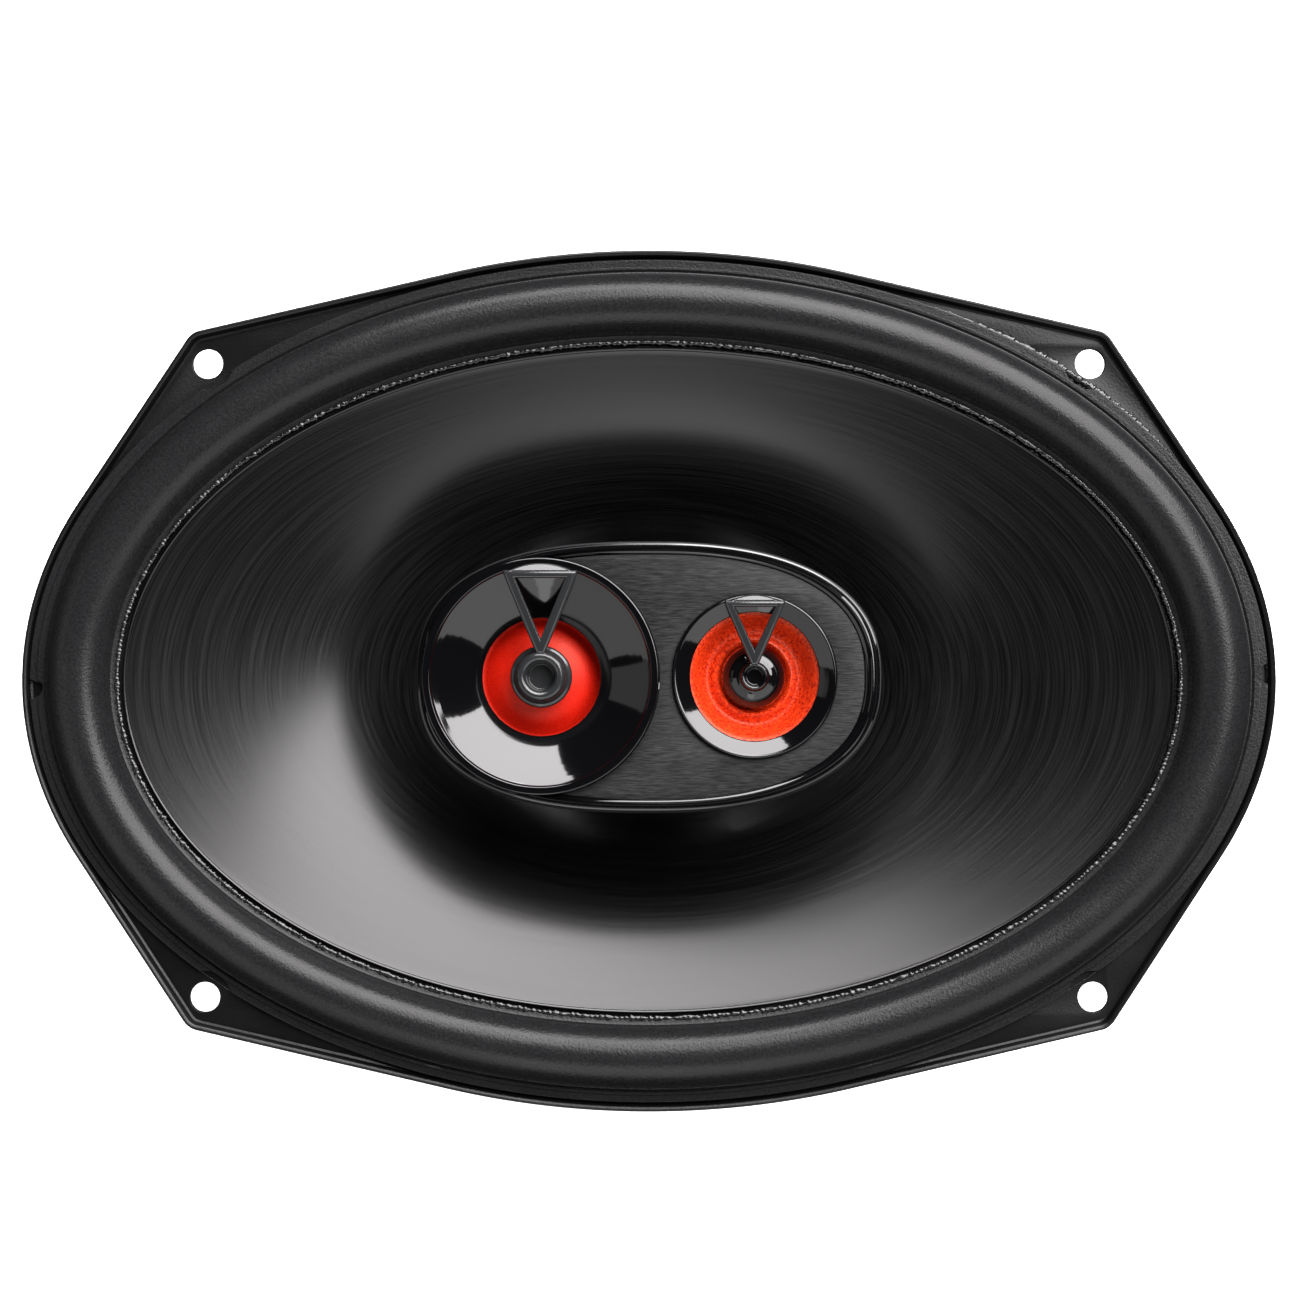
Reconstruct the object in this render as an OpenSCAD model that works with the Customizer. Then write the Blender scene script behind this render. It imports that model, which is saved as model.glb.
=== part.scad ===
// Oval coaxial car speaker: stamped basket, cone and surround, ferrite motor and a
// fixed pod with two small tweeters. Millimetres. The origin is the centre of the
// flange's back face; +Z is the way the speaker faces and X its long axis.

/* [Flange] */
// Overall length of the flange
flange_length = 230; // [200:1:250]
// Overall width of the flange
flange_width = 158; // [140:1:180]
// Sheet thickness of the basket
sheet = 1; // [0.8:0.1:1.6]
// Height of the turned-up lip above the mounting face
lip_height = 3.2; // [2:0.1:6]
// Distance between hole centres along X
hole_pitch_x = 162.9; // [150:0.1:180]
// Distance between hole centres along Y
hole_pitch_y = 116.6; // [100:0.1:130]
// Diameter of the four mounting holes
hole_d = 5.5; // [4:0.1:7]

/* [Basket] */
// Length of the oval wall that passes through the panel
wall_length = 216; // [190:1:225]
// Width of the oval wall that passes through the panel
wall_width = 148; // [130:1:155]
// Depth of the upright part of the oval wall
wall_depth = 8; // [4:1:20]
// Radius of the spider's ledge
ledge_r = 50; // [40:1:60]
// Height of the ledge's top face
ledge_z = -41; // [-50:1:-30]
// Radius of the round can under the ledge
can_r = 44.5; // [38:0.5:50]
// Height of the face the motor is riveted to
motor_z = -53; // [-60:1:-45]

/* [Motor] */
// Thickness of the top plate
top_plate_t = 6; // [4:1:8]
// Outer radius of the magnet
magnet_r = 45; // [35:1:55]
// Thickness of the magnet
magnet_t = 15; // [10:1:20]
// Thickness of the back plate
back_plate_t = 6; // [4:1:8]
// Radius of the pole
pole_r = 12.5; // [10:0.5:20]
// Outer radius of the voice coil former
former_r = 13.05; // [10:0.05:20]

/* [Cone] */
// Height of the cone's glued rim
rim_z = 1.75; // [0:0.05:4]
// Height of the cone's neck
neck_z = -36; // [-42:1:-30]
// Cone travel each way
cone_travel = 4; // [1:0.5:6]

/* [Pod] */
// Length of the tweeter pod
pod_length = 82.8; // [60:0.1:100]
// Width of the tweeter pod
pod_width = 48.4; // [40:0.1:60]
// Height of the face plate's front face
face_z = 20.4; // [12:0.1:30]
// X of the large tweeter's axis
left_x = -19.1; // [-30:0.1:-10]
// X of the small tweeter's axis
right_x = 18.65; // [10:0.05:30]

/* [Hidden] */

eps = 0.01;
oval_steps = 72;
round_fn = 96;

// flange
half_length = flange_length / 2;
half_width = flange_width / 2;
ear_corner = [81.75, 60.3];
ear_r = 4;
lip_t = 1;
wall_a = wall_length / 2;
wall_b = wall_width / 2;

// heights down the motor
ledge_w = 6;
ledge_edge = 1.5;
plate_bottom = motor_z - top_plate_t;
magnet_bottom = plate_bottom - magnet_t;
back_z = magnet_bottom - back_plate_t;
pole_top = motor_z + 0.5;
coil_gap = 0.35;
former_t = 0.2;
winding_t = 0.55;
winding_h = 13;
winding_mid = motor_z - top_plate_t / 2;
gap_r = former_r + winding_t + coil_gap;

// surround and cone, as semi-axes of the oval at each step
land_a = 113.7;
land_b = 77.4;
roll_out_a = 110.3;
roll_out_b = 74.7;
roll_w = 11.3;
land_z = 2.6;
skin_t = 0.8;
inner_land = 2.3;
rim_a = 96.3;
rim_b = 60.8;
rim_lap = 2.6;
rim_t = 0.6;
cone_t = 0.7;
neck_r = former_r + 0.05;

// pod
pod_a = pod_length / 2;
pod_b = pod_width / 2;
pod_floor = 0.5;
pod_wall = 1.6;
stem_r = 5.95;
post_r = 8;
post_bore = 2.6;
spigot_r = 5;

// ---------------------------------------------------------------- helpers

function oval(a, b, i, n) = [a * cos(360 * i / n), b * sin(360 * i / n)];

// Point of the flange outline whose normal points at angle t, drawn in by d.
function flange_point(t, d) =
    let (c = cos(t), s = sin(t),
         e = sqrt(pow(half_length * c, 2) + pow(half_width * s, 2)),
         k = ear_corner[0] * abs(c) + ear_corner[1] * abs(s) + ear_r)
    e >= k
    ? [half_length * half_length * c / e - d * c, half_width * half_width * s / e - d * s]
    : [sign(c) * ear_corner[0] + (ear_r - d) * c, sign(s) * ear_corner[1] + (ear_r - d) * s];

module flange_shape(d) polygon([for (t = [0:3:357]) flange_point(t, d)]);

// Closed ring swept from a loop of stations: each station lists its points in order.
module ring_mesh(stations) {
    n = len(stations);
    m = len(stations[0]);
    polyhedron(
        points = [for (s = stations) for (p = s) p],
        faces = [for (i = [0:n - 1]) for (j = [0:m - 1])
            let (a = i * m + j, b = i * m + (j + 1) % m,
                 c = ((i + 1) % n) * m + (j + 1) % m, d = ((i + 1) % n) * m + j)
            for (f = [[a, b, c], [a, c, d]]) f]);
}

// Oval ring whose section is a loop of [a, b, z] points, semi-axes first.
module oval_ring(section)
    ring_mesh([for (i = [0:oval_steps - 1])
        [for (p = section) let (q = oval(p[0], p[1], i, oval_steps)) [q[0], q[1], p[2]]]]);

// Superellipse used for the pod: rounder at the right end than at the left.
function pod_point(d, i, n) =
    let (t = 360 * i / n, c = cos(t), s = sin(t), e = 2 / (c < 0 ? 2.58 : 2.42))
    [sign(c) * pow(abs(c), e) * (pod_a - d[0]), sign(s) * pow(abs(s), e) * (pod_b - d[1])];

// Pod ring whose section is a loop of [inset along X, inset along Y, z] points.
module pod_ring(section)
    ring_mesh([for (i = [0:oval_steps - 1])
        [for (p = section) let (q = pod_point(p, i, oval_steps)) [q[0], q[1], p[2]]]]);

module tube(r, bore, z0, z1)
    translate([0, 0, z0]) difference() {
        cylinder(r = r, h = z1 - z0, $fn = round_fn);
        translate([0, 0, -1]) cylinder(r = bore, h = z1 - z0 + 2, $fn = round_fn);
    }

module disc(r, z0, z1) translate([0, 0, z0]) cylinder(r = r, h = z1 - z0, $fn = round_fn);

module turned(points) rotate_extrude($fn = round_fn) polygon(points);

function unit(v) = v / norm(v);

// Round wire along a list of points; none of its steps may run along X.
module wire(path, r) {
    sides = 8;
    n = len(path);
    tangents = [for (i = [0:n - 1])
        unit(path[min(i + 1, n - 1)] - path[max(i - 1, 0)])];
    rings = [for (i = [0:n - 1])
        let (t = tangents[i], u = unit([1, 0, 0] - t[0] * t), v = cross(t, u))
        for (j = [0:sides - 1])
            path[i] + r * (cos(360 * j / sides) * u + sin(360 * j / sides) * v)];
    polyhedron(
        points = rings,
        faces = concat(
            [[for (j = [0:sides - 1]) j]],
            [[for (j = [sides - 1:-1:0]) (n - 1) * sides + j]],
            [for (i = [0:n - 2]) for (j = [0:sides - 1])
                let (a = i * sides + j, b = i * sides + (j + 1) % sides)
                for (f = [[a, a + sides, b], [b, a + sides, b + sides]]) f]));
}

// Polyline with each inner corner rounded over the length d on both sides.
function rounded(path, d) =
    let (n = len(path))
    concat([path[0]],
        [for (i = [1:n - 2])
            let (p = path[i], a = p + d * unit(path[i - 1] - p), b = p + d * unit(path[i + 1] - p))
            for (k = [0:4]) let (t = k / 4)
                (1 - t) * (1 - t) * a + 2 * t * (1 - t) * p + t * t * b],
        [path[n - 1]]);

module at_left() translate([left_x, 0, 0]) children();
module at_right() translate([right_x, 0, 0]) children();

module mounting_holes(h)
    for (x = [-1, 1], y = [-1, 1])
        translate([x * hole_pitch_x / 2, y * hole_pitch_y / 2, -1])
            cylinder(d = hole_d, h = h, $fn = 48);

// ---------------------------------------------------------------- basket

window_steps = 28;
window_half_angle = 23;
tab_half_w = 15;
tab_out_y = 59;
rivet_pitch_r = 30;
rivet_r = 2.5;
rivet_count = 4;
// Height of the wall cut away above the ledge to let the terminals through
terminal_notch = 7;

// Window outline: a rounded patch between two ovals, either side of angle mid.
module window_shape(mid)
    polygon([for (k = [0:window_steps - 1])
        let (t = 360 * k / window_steps,
             u = sign(cos(t)) * pow(abs(cos(t)), 0.4),
             v = (sign(sin(t)) * pow(abs(sin(t)), 0.4) + 1) / 2,
             w = mid + window_half_angle * u,
             a = ledge_r + 3.5 + v * (wall_a - ledge_r - 9),
             b = ledge_r + 3.5 + v * (wall_b - ledge_r - 7))
        [a * cos(w), b * sin(w)]]);

module basket_wall() {
    lower = ledge_r - 0.1;
    knee = 0.5;
    mid_a = wall_a * knee + lower * (1 - knee);
    mid_b = wall_b * knee + lower * (1 - knee);
    mid_z = -wall_depth * knee + ledge_z * (1 - knee);
    oval_ring([
        [wall_a, wall_b, sheet], [wall_a - sheet, wall_b - sheet, sheet],
        [wall_a - sheet, wall_b - sheet, 0.6 - wall_depth],
        [mid_a - 1.1, mid_b - 1.1, mid_z - 0.6],
        [lower - 1.1, lower - 1.1, ledge_z - 0.4], [lower, lower, ledge_z - 0.6],
        [mid_a, mid_b, mid_z - 1.5], [wall_a, wall_b, -wall_depth]]);
}

module flange_tray()
    difference() {
        linear_extrude(height = lip_height) flange_shape(0);
        translate([0, 0, sheet]) linear_extrude(height = lip_height) flange_shape(lip_t);
        translate([0, 0, -1]) linear_extrude(height = sheet + 2)
            polygon([for (i = [0:oval_steps - 1])
                oval(wall_a - sheet / 2, wall_b - sheet / 2, i, oval_steps)]);
        mounting_holes(sheet + 2);
    }

module basket_can()
    difference() {
        union() {
            turned([
                [16, motor_z], [can_r, motor_z], [can_r, ledge_z - sheet],
                [ledge_r + ledge_edge, ledge_z - sheet], [ledge_r + ledge_edge, ledge_z],
                [ledge_r - ledge_w, ledge_z], [can_r - sheet, ledge_z - 1.5],
                [can_r - sheet, motor_z + sheet], [16, motor_z + sheet]]);
            translate([-tab_half_w, -tab_out_y, ledge_z - sheet])
                cube([2 * tab_half_w, tab_out_y - ledge_r + 2, sheet]);
        }
        for (k = [1:rivet_count])
            rotate([0, 0, 45 + 90 * k]) translate([rivet_pitch_r, 0, motor_z - 1])
                cylinder(r = rivet_r + 0.05, h = sheet + 2, $fn = 48);
        translate([0, -board_y, ledge_z - 2]) cylinder(r = board_rivet_r + 0.05, h = 4, $fn = 32);
        for (x = [-1, 1])
            translate([x * feed_lug_x, -board_y, ledge_z - 2])
                cylinder(r = 2.6, h = 4, $fn = 32);
    }

module basket()
    color("#17181a") {
        flange_tray();
        difference() {
            basket_wall();
            for (mid = [30:60:330])
                translate([0, 0, ledge_z - 4]) linear_extrude(height = 30) window_shape(mid);
            translate([-board_half_w, -board_y - 6, ledge_z])
                cube([2 * board_half_w, 11, terminal_notch]);
        }
        basket_can();
    }

module plate_rivets()
    color("#9a9c9f") for (k = [1:rivet_count])
        rotate([0, 0, 45 + 90 * k]) translate([rivet_pitch_r, 0, 0]) {
            disc(rivet_r, motor_z - top_plate_t + 1, motor_z + sheet + 0.2);
            disc(4, motor_z + sheet, motor_z + sheet + 1.2);
        }

// ---------------------------------------------------------------- moving assembly

module surround() {
    steps = 12;
    rise = roll_w / 2;
    mid_a = roll_out_a - rise;
    mid_b = roll_out_b - rise;
    color("#26282a") difference() {
        oval_ring(concat(
            [[land_a, land_b, sheet], [land_a, land_b, land_z]],
            [for (k = [0:steps])
                let (t = 180 * k / steps)
                [mid_a + rise * cos(t), mid_b + rise * cos(t), land_z + rise * sin(t)]],
            [[mid_a - rise - inner_land, mid_b - rise - inner_land, land_z],
             [mid_a - rise - inner_land, mid_b - rise - inner_land, land_z - skin_t]],
            [for (k = [steps:-1:0])
                let (t = 180 * k / steps, r = rise - skin_t)
                [mid_a + r * cos(t), mid_b + r * cos(t),
                 (k == 0 ? sheet : land_z - skin_t * cos(t) * cos(t)) + r * sin(t)]]));
        for (x = [-1, 1], y = [-1, 1])
            translate([x * hole_pitch_x / 2, y * hole_pitch_y / 2, 0])
                cylinder(r = 5, h = 6, $fn = 48);
        for (x = [-1, 1]) translate([x * land_a, 0, 0]) cylinder(r = 1.3, h = 6, $fn = 32);
    }
}

// Depth of the cone below its rim, as a share of its whole depth, at share s inwards.
function cone_drop(s) = 0.5 * s + 0.5 * pow(s, 3.5);
function cone_point(s, d) =
    [rim_a + s * (neck_r - rim_a), rim_b + s * (neck_r - rim_b),
     rim_z - (rim_z - neck_z) * cone_drop(s) - d];

module cone() {
    steps = 7;
    color("#1b1b1d") oval_ring(concat(
        [[rim_a + rim_lap, rim_b + rim_lap, rim_z - rim_t],
         [rim_a + rim_lap, rim_b + rim_lap, rim_z]],
        [for (k = [0:steps]) cone_point(k / steps, 0)],
        [[neck_r, neck_r, neck_z - 2.4], [neck_r + cone_t, neck_r + cone_t, neck_z - 2.4],
         [neck_r + cone_t, neck_r + cone_t, neck_z - cone_t]],
        [for (k = [steps - 1:-1:1]) cone_point(k / steps, cone_t + 0.3)]));
}

module former()
    color("#b98a4a") tube(former_r, former_r - former_t, winding_mid - winding_h / 2 - 1, neck_z + 2.5);

module winding()
    color("#a4552a") tube(former_r + winding_t, former_r,
        winding_mid - winding_h / 2, winding_mid + winding_h / 2);

spider_out_r = 48.9;
spider_flat = 5.8;
spider_t = 0.5;
spider_waves = 6;
spider_amp = 1.4;
spider_z = ledge_z + spider_t / 2;

module spider() {
    steps = 8 * spider_waves;
    r0 = neck_r + 2;
    r1 = spider_out_r - spider_flat;
    wave = [for (k = [0:steps])
        [r0 + (r1 - r0) * k / steps, spider_z + spider_amp * sin(360 * spider_waves * k / steps)]];
    color("#a8702c") turned(concat(
        [[neck_r, spider_z - 1]],
        [[neck_r + 1, spider_z - 1]],
        [for (p = wave) [p[0], p[1] - spider_t / 2]],
        [[spider_out_r, spider_z - spider_t / 2], [spider_out_r, spider_z + spider_t / 2]],
        [for (k = [steps:-1:0]) [wave[k][0], wave[k][1] + spider_t / 2]],
        [[neck_r + 1, spider_z + 1], [neck_r, spider_z + 1]]));
}

// ---------------------------------------------------------------- motor

module top_plate()
    color("#7d8084") difference() {
        turned([[gap_r, plate_bottom], [can_r - 2.5, plate_bottom],
            [can_r - 2, plate_bottom + 0.5], [can_r - 2, motor_z - 0.5],
            [can_r - 2.5, motor_z], [gap_r, motor_z]]);
        for (k = [1:rivet_count])
            rotate([0, 0, 45 + 90 * k]) translate([rivet_pitch_r, 0, plate_bottom + 0.9])
                cylinder(r = rivet_r + 0.05, h = top_plate_t, $fn = 48);
    }

module magnet() {
    bore = 19;
    edge = 1;
    color("#2b2c2e") turned([
        [bore, magnet_bottom], [magnet_r - edge, magnet_bottom], [magnet_r, magnet_bottom + edge],
        [magnet_r, plate_bottom - edge], [magnet_r - edge, plate_bottom], [bore, plate_bottom]]);
}

nut_seat = 5.5;
nut_seat_r = 9;
groove_w = 4.5;
groove_d = 2;

module yoke() {
    edge = 0.8;
    plate_r = magnet_r - 2;
    color("#7d8084") difference() {
        turned([
            [spigot_r + 0.05, back_z + nut_seat], [nut_seat_r, back_z + nut_seat],
            [nut_seat_r, back_z], [plate_r - edge, back_z], [plate_r, back_z + edge],
            [plate_r, magnet_bottom - edge], [plate_r - edge, magnet_bottom],
            [pole_r + 2, magnet_bottom], [pole_r, magnet_bottom + 2], [pole_r, pole_top - edge],
            [pole_r - edge, pole_top], [spigot_r + 0.05, pole_top]]);
        translate([-groove_w / 2, -magnet_r, back_z - 1]) cube([groove_w, magnet_r, groove_d + 1]);
    }
}

module post() {
    nut_end = back_z + 3;
    color("#1a1a1c") turned([
        [post_bore, nut_end], [spigot_r - 0.5, nut_end], [spigot_r, nut_end + 0.5],
        [spigot_r, pole_top], [post_r, pole_top], [post_r, pod_floor - 6],
        [post_r + 3, pod_floor - 2], [post_r + 3, pod_floor - 0.5], [stem_r, pod_floor - 0.5],
        [stem_r, pod_floor + 3.8], [post_bore, pod_floor + 3.8]]);
}

module post_nut()
    color("#b9bbbd") translate([0, 0, back_z + nut_seat - 2.3]) difference() {
        cylinder(r = 8.4, h = 2.3, $fn = 6);
        translate([0, 0, -1]) cylinder(r = spigot_r + 0.02, h = 5, $fn = 64);
    }

// ---------------------------------------------------------------- terminals and wires

board_y = 55;
board_t = 1.6;
board_half_w = 19;
board_rivet_r = 1.6;
lug_x = 12;
feed_lug_x = 12;
lug_rivet_r = 1.3;
lug_head_r = 1.9;
blade_t = 0.8;
board_top = ledge_z + board_t;

module terminal_board()
    color("#7a4a22") difference() {
        translate([-board_half_w, -board_y - 5.5, ledge_z]) cube([2 * board_half_w, 10, board_t]);
        translate([0, -board_y, ledge_z - 1]) cylinder(r = board_rivet_r + 0.05, h = 4, $fn = 32);
        for (x = [-1, 1]) translate([x * lug_x, -board_y, ledge_z - 1])
            cylinder(r = lug_rivet_r + 0.05, h = 4, $fn = 32);
    }

// Push-on blade that points away from the speaker, with a solder ear at its inner end.
module terminal(x, w) {
    out = 14;
    difference() {
        union() {
            translate([x - w / 2, -board_y - out, board_top]) cube([w, out + 2.8, blade_t]);
            translate([x - 1.5, -board_y + 2.6, board_top]) rotate([50, 0, 0]) cube([3, 4, blade_t]);
        }
        translate([x, -board_y, board_top - 1]) cylinder(r = lug_rivet_r + 0.05, h = 4, $fn = 32);
        translate([x, -board_y - out + 4, board_top - 1]) cylinder(r = 0.9, h = 4, $fn = 32);
    }
}

module terminal_positive() color("#c9a24a") terminal(lug_x, 6.3);
module terminal_negative() color("#c9c6bd") terminal(-lug_x, 4.8);

module terminal_rivets()
    color("#c9c6bd") for (x = [-1, 1]) translate([x * lug_x, -board_y, 0]) {
        disc(lug_rivet_r, ledge_z - 0.4, board_top + blade_t + 0.4);
        disc(lug_head_r, ledge_z - 0.7, ledge_z);
        disc(lug_head_r, board_top + blade_t, board_top + blade_t + 0.6);
    }

module board_rivet()
    color("#9a9c9f") translate([0, -board_y, 0]) {
        disc(board_rivet_r, ledge_z - sheet - 0.5, board_top + 0.4);
        disc(2.8, ledge_z - sheet - 0.8, ledge_z - sheet);
        disc(2.8, board_top, board_top + 0.8);
    }

// Braided lead from the solder ear to the underside of the cone, with slack.
lead_steps = 18;
function lead_path(x) =
    let (a = [x, -50.2, board_top + 4.3], b = [x, -49.5, board_top + 13],
         c = [0.8 * x, -37, -24], d = [0.75 * x, -33.5, -13.2])
    [for (k = [0:lead_steps]) let (t = k / lead_steps, s = 1 - t)
        s * s * s * a + 3 * s * s * t * b + 3 * s * t * t * c + t * t * t * d];

module lead_positive() color("#c9a24a") wire(lead_path(lug_x), 0.6);
module lead_negative() color("#c9a24a") wire(lead_path(-lug_x), 0.6);

// Insulated feed from the board, up through the hollow post into the pod.
feed_r = 0.6;
feed_x = 1.1;
function feed_path(side) =
    let (x = side * feed_x, low = back_z + 1, out = -magnet_r - 1.6)
    rounded([[x, 0, 11], [x, 0, low], [x, out, low], [x, out, motor_z + 4],
        [side * feed_lug_x, -board_y, ledge_z - 1.6]], 1.8);

module feed_positive() color("#8d1c14") wire(feed_path(1), feed_r);
module feed_negative() color("#101012") wire(feed_path(-1), feed_r);

// ---------------------------------------------------------------- pod

bezel_z = 17;
bezel_top = 21.8;
bezel_in_x = 3.1;
bezel_in_y = 2.4;

module pod_shell()
    color("#121214") union() {
        difference() {
            pod_ring([
                [34.2, 17, pod_floor], [10, 9, pod_floor], [5, 4.6, 2], [2, 1.8, 5.5],
                [0.5, 0.5, 10], [0, 0, 14.5], [0, 0, bezel_z],
                [pod_wall, pod_wall, bezel_z], [pod_wall, pod_wall, 14.5],
                [pod_wall + 0.5, pod_wall + 0.5, 10], [3.6, 3.4, 6], [6.4, 6, 3.4],
                [10.6, 9.6, pod_floor + pod_wall], [34.2, 17, pod_floor + pod_wall]]);
            at_left() disc(horn_r + 0.05, horn_skirt_z - 0.1, bezel_z + 1);
        }
        tube(stem_r + 2.6, stem_r + 0.05, pod_floor, pod_floor + 4.1);
    }

module pod_bezel()
    color("#0d0d0f") difference() {
        pod_ring([
            [0.6, 0.6, bezel_z], [0.65, 0.65, bezel_z + 2.4], [1, 0.95, bezel_z + 4],
            [1.6, 1.4, bezel_top], [2.2, 1.8, bezel_top], [bezel_in_x - 0.4, bezel_in_y - 0.3, 21.2],
            [bezel_in_x, bezel_in_y, 20.4], [bezel_in_x, bezel_in_y, bezel_z]]);
        at_left() disc(horn_r + 0.05, bezel_z - 1, bezel_top + 1);
    }

module face_plate() {
    face_t = 1.6;
    color("#2a2b2d") difference() {
        translate([0, 0, face_z - face_t]) linear_extrude(height = face_t)
            polygon([for (i = [0:oval_steps - 1])
                pod_point([bezel_in_x + 0.1, bezel_in_y + 0.1], i, oval_steps)]);
        at_left() disc(horn_r + 0.05, bezel_z - 1, bezel_top + 1);
        at_right() disc(ring_r + 0.05, bezel_z - 1, bezel_top + 1);
    }
}

module capacitor_left() color("#8d1c14") translate([3, 15, 0]) disc(3.8, 5, 17);
module capacitor_right() color("#1d4d7a") translate([3, -15, 0]) disc(3.2, 5, 15.5);

// ---------------------------------------------------------------- large tweeter, left

horn_r = 20.9;
horn_lip_r = 19;
horn_skirt_z = 14;
throat_r = 11;
dome_r = 10.3;
dome_base = 12.6;
dome_rise = 3;
film_t = 0.25;
unit_floor = 5.5;

module left_horn()
    color("#0b0b0d") at_left() turned([
        [throat_r, 16.4], [horn_r - 1.4, 16.4], [horn_r - 1.4, horn_skirt_z],
        [horn_r, horn_skirt_z], [horn_r, 22.4],
        [horn_r - 0.5, 23], [horn_lip_r + 0.4, 23], [horn_lip_r, 22.5], [throat_r, 17.3]]);

// V-shaped bridge from the horn's rim to a round plug over the diaphragm.
module bridge(bar_y, bar_half, bar_w, leg_w, rim, apex, z0, z1, foot) {
    leg_h = 0.8;
    for (side = [-1, 1]) {
        from = [side * (bar_half - leg_w / 2), bar_y, z0];
        to = [side * leg_w / 4, apex, z1];
        run = norm([to[0] - from[0], to[1] - from[1]]);
        angle = atan2(to[1] - from[1], to[0] - from[0]);
        slope = atan2(z0 - z1, run);
        translate(from) rotate([0, slope, angle])
            translate([0, -leg_w / 2, -leg_h]) cube([run / cos(slope) + foot, leg_w, leg_h]);
    }
    translate([-bar_half, bar_y - bar_w / 2, z0 - leg_h]) cube([2 * bar_half, bar_w, leg_h]);
    intersection() {
        disc(rim, z0 - leg_h, z0 - 0.2);
        translate([-rim, bar_y, z0 - leg_h - 1]) cube([2 * rim, rim, leg_h + 2]);
    }
}

module left_bridge()
    color("#2c2e30") at_left() {
        bridge(18.1, 6.5, 1.25, 1.5, 19.6, 4, 23.8, 21.6, 0.4);
        turned([[0, 16.7], [4.6, 16.7], [5.5, 17.6], [5.5, 18.4], [4.55, 19.2], [4.55, 21.3],
            [4, 21.9], [3.6, 21.9], [3, 21.3], [2.4, 19.6], [0, 19.6]]);
    }

module left_retainer()
    color("#101012") at_left() turned([
        [throat_r, 13.4], [12.8, 13.4], [12.8, unit_floor], [16, unit_floor], [16, 16.35],
        [throat_r, 16.35]]);

module left_diaphragm() {
    steps = 10;
    cap = [for (k = [0:steps]) let (r = dome_r * k / steps)
        [r, dome_base + dome_rise * (1 - pow(r / dome_r, 2))]];
    color("#c23a22") at_left() turned(concat(
        [for (p = cap) [p[0], p[1] - film_t]],
        [[12.2, dome_base - film_t], [12.2, dome_base]],
        [for (k = [steps:-1:0]) cap[k]]));
}

module left_coil() color("#a4552a") at_left() tube(10.3, 9.9, 8, dome_base - film_t - 0.02);
module left_pole_plate() color("#85888c") at_left() disc(9.5, 10, 11.6);
module left_magnet() color("#b4b6b9") at_left() disc(8.5, 7, 10);

module left_cup()
    color("#85888c") at_left() turned([
        [0, unit_floor], [12.6, unit_floor], [12.6, 11.6], [10.9, 11.6], [10.9, 7], [0, 7]]);

// ---------------------------------------------------------------- small tweeter, right

ring_r = 14.5;
ring_bore = 11.4;

module right_ring()
    color("#0b0b0d") at_right() turned([
        [ring_bore, 20], [ring_r, 20], [ring_r, 21.3], [ring_r - 0.4, 21.7],
        [ring_r - 0.8, 21.6], [ring_bore, 20.9]]);

module right_bridge()
    color("#2c2e30") at_right() {
        bridge(12.9, 5.45, 1.1, 1.15, 14.3, 2.1, 22.5, 20.6, 0.3);
        turned([[0, 15.6], [4.8, 15.6], [5.5, 16.2], [5.4, 16.9], [4.6, 18.1], [3.4, 19],
            [2.45, 19.4], [2.45, 20.5], [2.2, 20.8], [2, 20.7], [1.9, 19.9], [0, 19.9]]);
    }

module right_retainer()
    color("#101012") at_right() turned([
        [9.6, unit_floor], [13.7, unit_floor], [13.7, 18.4], [12.5, 18.4], [12.5, 12.2],
        [9.6, 12.2]]);

module right_diaphragm()
    color("#d4442a") at_right() turned([
        [0, 14.5], [3, 14.3], [5.5, 13.5], [6.1, 13.4], [6.5, 13.5], [7.2, 15.1], [8.2, 15.4],
        [9.6, 16.8], [10.6, 18.3], [11.2, 19], [12, 19], [12, 19.3], [11.1, 19.3], [10.4, 18.6],
        [9.3, 17.1], [8, 15.75], [7.3, 15.6], [6.9, 15.3], [6.3, 13.9], [5.6, 13.8], [3, 14.6],
        [0, 14.8]]);

module right_coil() color("#a4552a") at_right() tube(6.5, 6.1, 8.8, 13.35);
module right_pole_plate() color("#85888c") at_right() disc(5.7, 10.2, 12.2);
module right_magnet() color("#b4b6b9") at_right() disc(5, 7, 10.2);

module right_cup()
    color("#85888c") at_right() turned([
        [0, unit_floor], [9.5, unit_floor], [9.5, 12.2], [7.2, 12.2], [7.2, 7], [0, 7]]);

basket();
plate_rivets();
surround();
cone();
former();
winding();
spider();
top_plate();
magnet();
yoke();
post();
post_nut();
terminal_board();
terminal_positive();
terminal_negative();
terminal_rivets();
board_rivet();
lead_positive();
lead_negative();
feed_positive();
feed_negative();
pod_shell();
pod_bezel();
face_plate();
capacitor_left();
capacitor_right();
left_horn();
left_bridge();
left_retainer();
left_diaphragm();
left_coil();
left_pole_plate();
left_magnet();
left_cup();
right_ring();
right_bridge();
right_retainer();
right_diaphragm();
right_coil();
right_pole_plate();
right_magnet();
right_cup();
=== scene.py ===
# %% [markdown]
# # An oval coaxial car speaker
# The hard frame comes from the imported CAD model, in metres, with the origin at the centre
# of the flange's back face and +Z pointing out of the front. This script keeps every joint
# and mount where it is and gives each visible piece its finer mesh and its finish.

# %% Load the frame
import math

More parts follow.
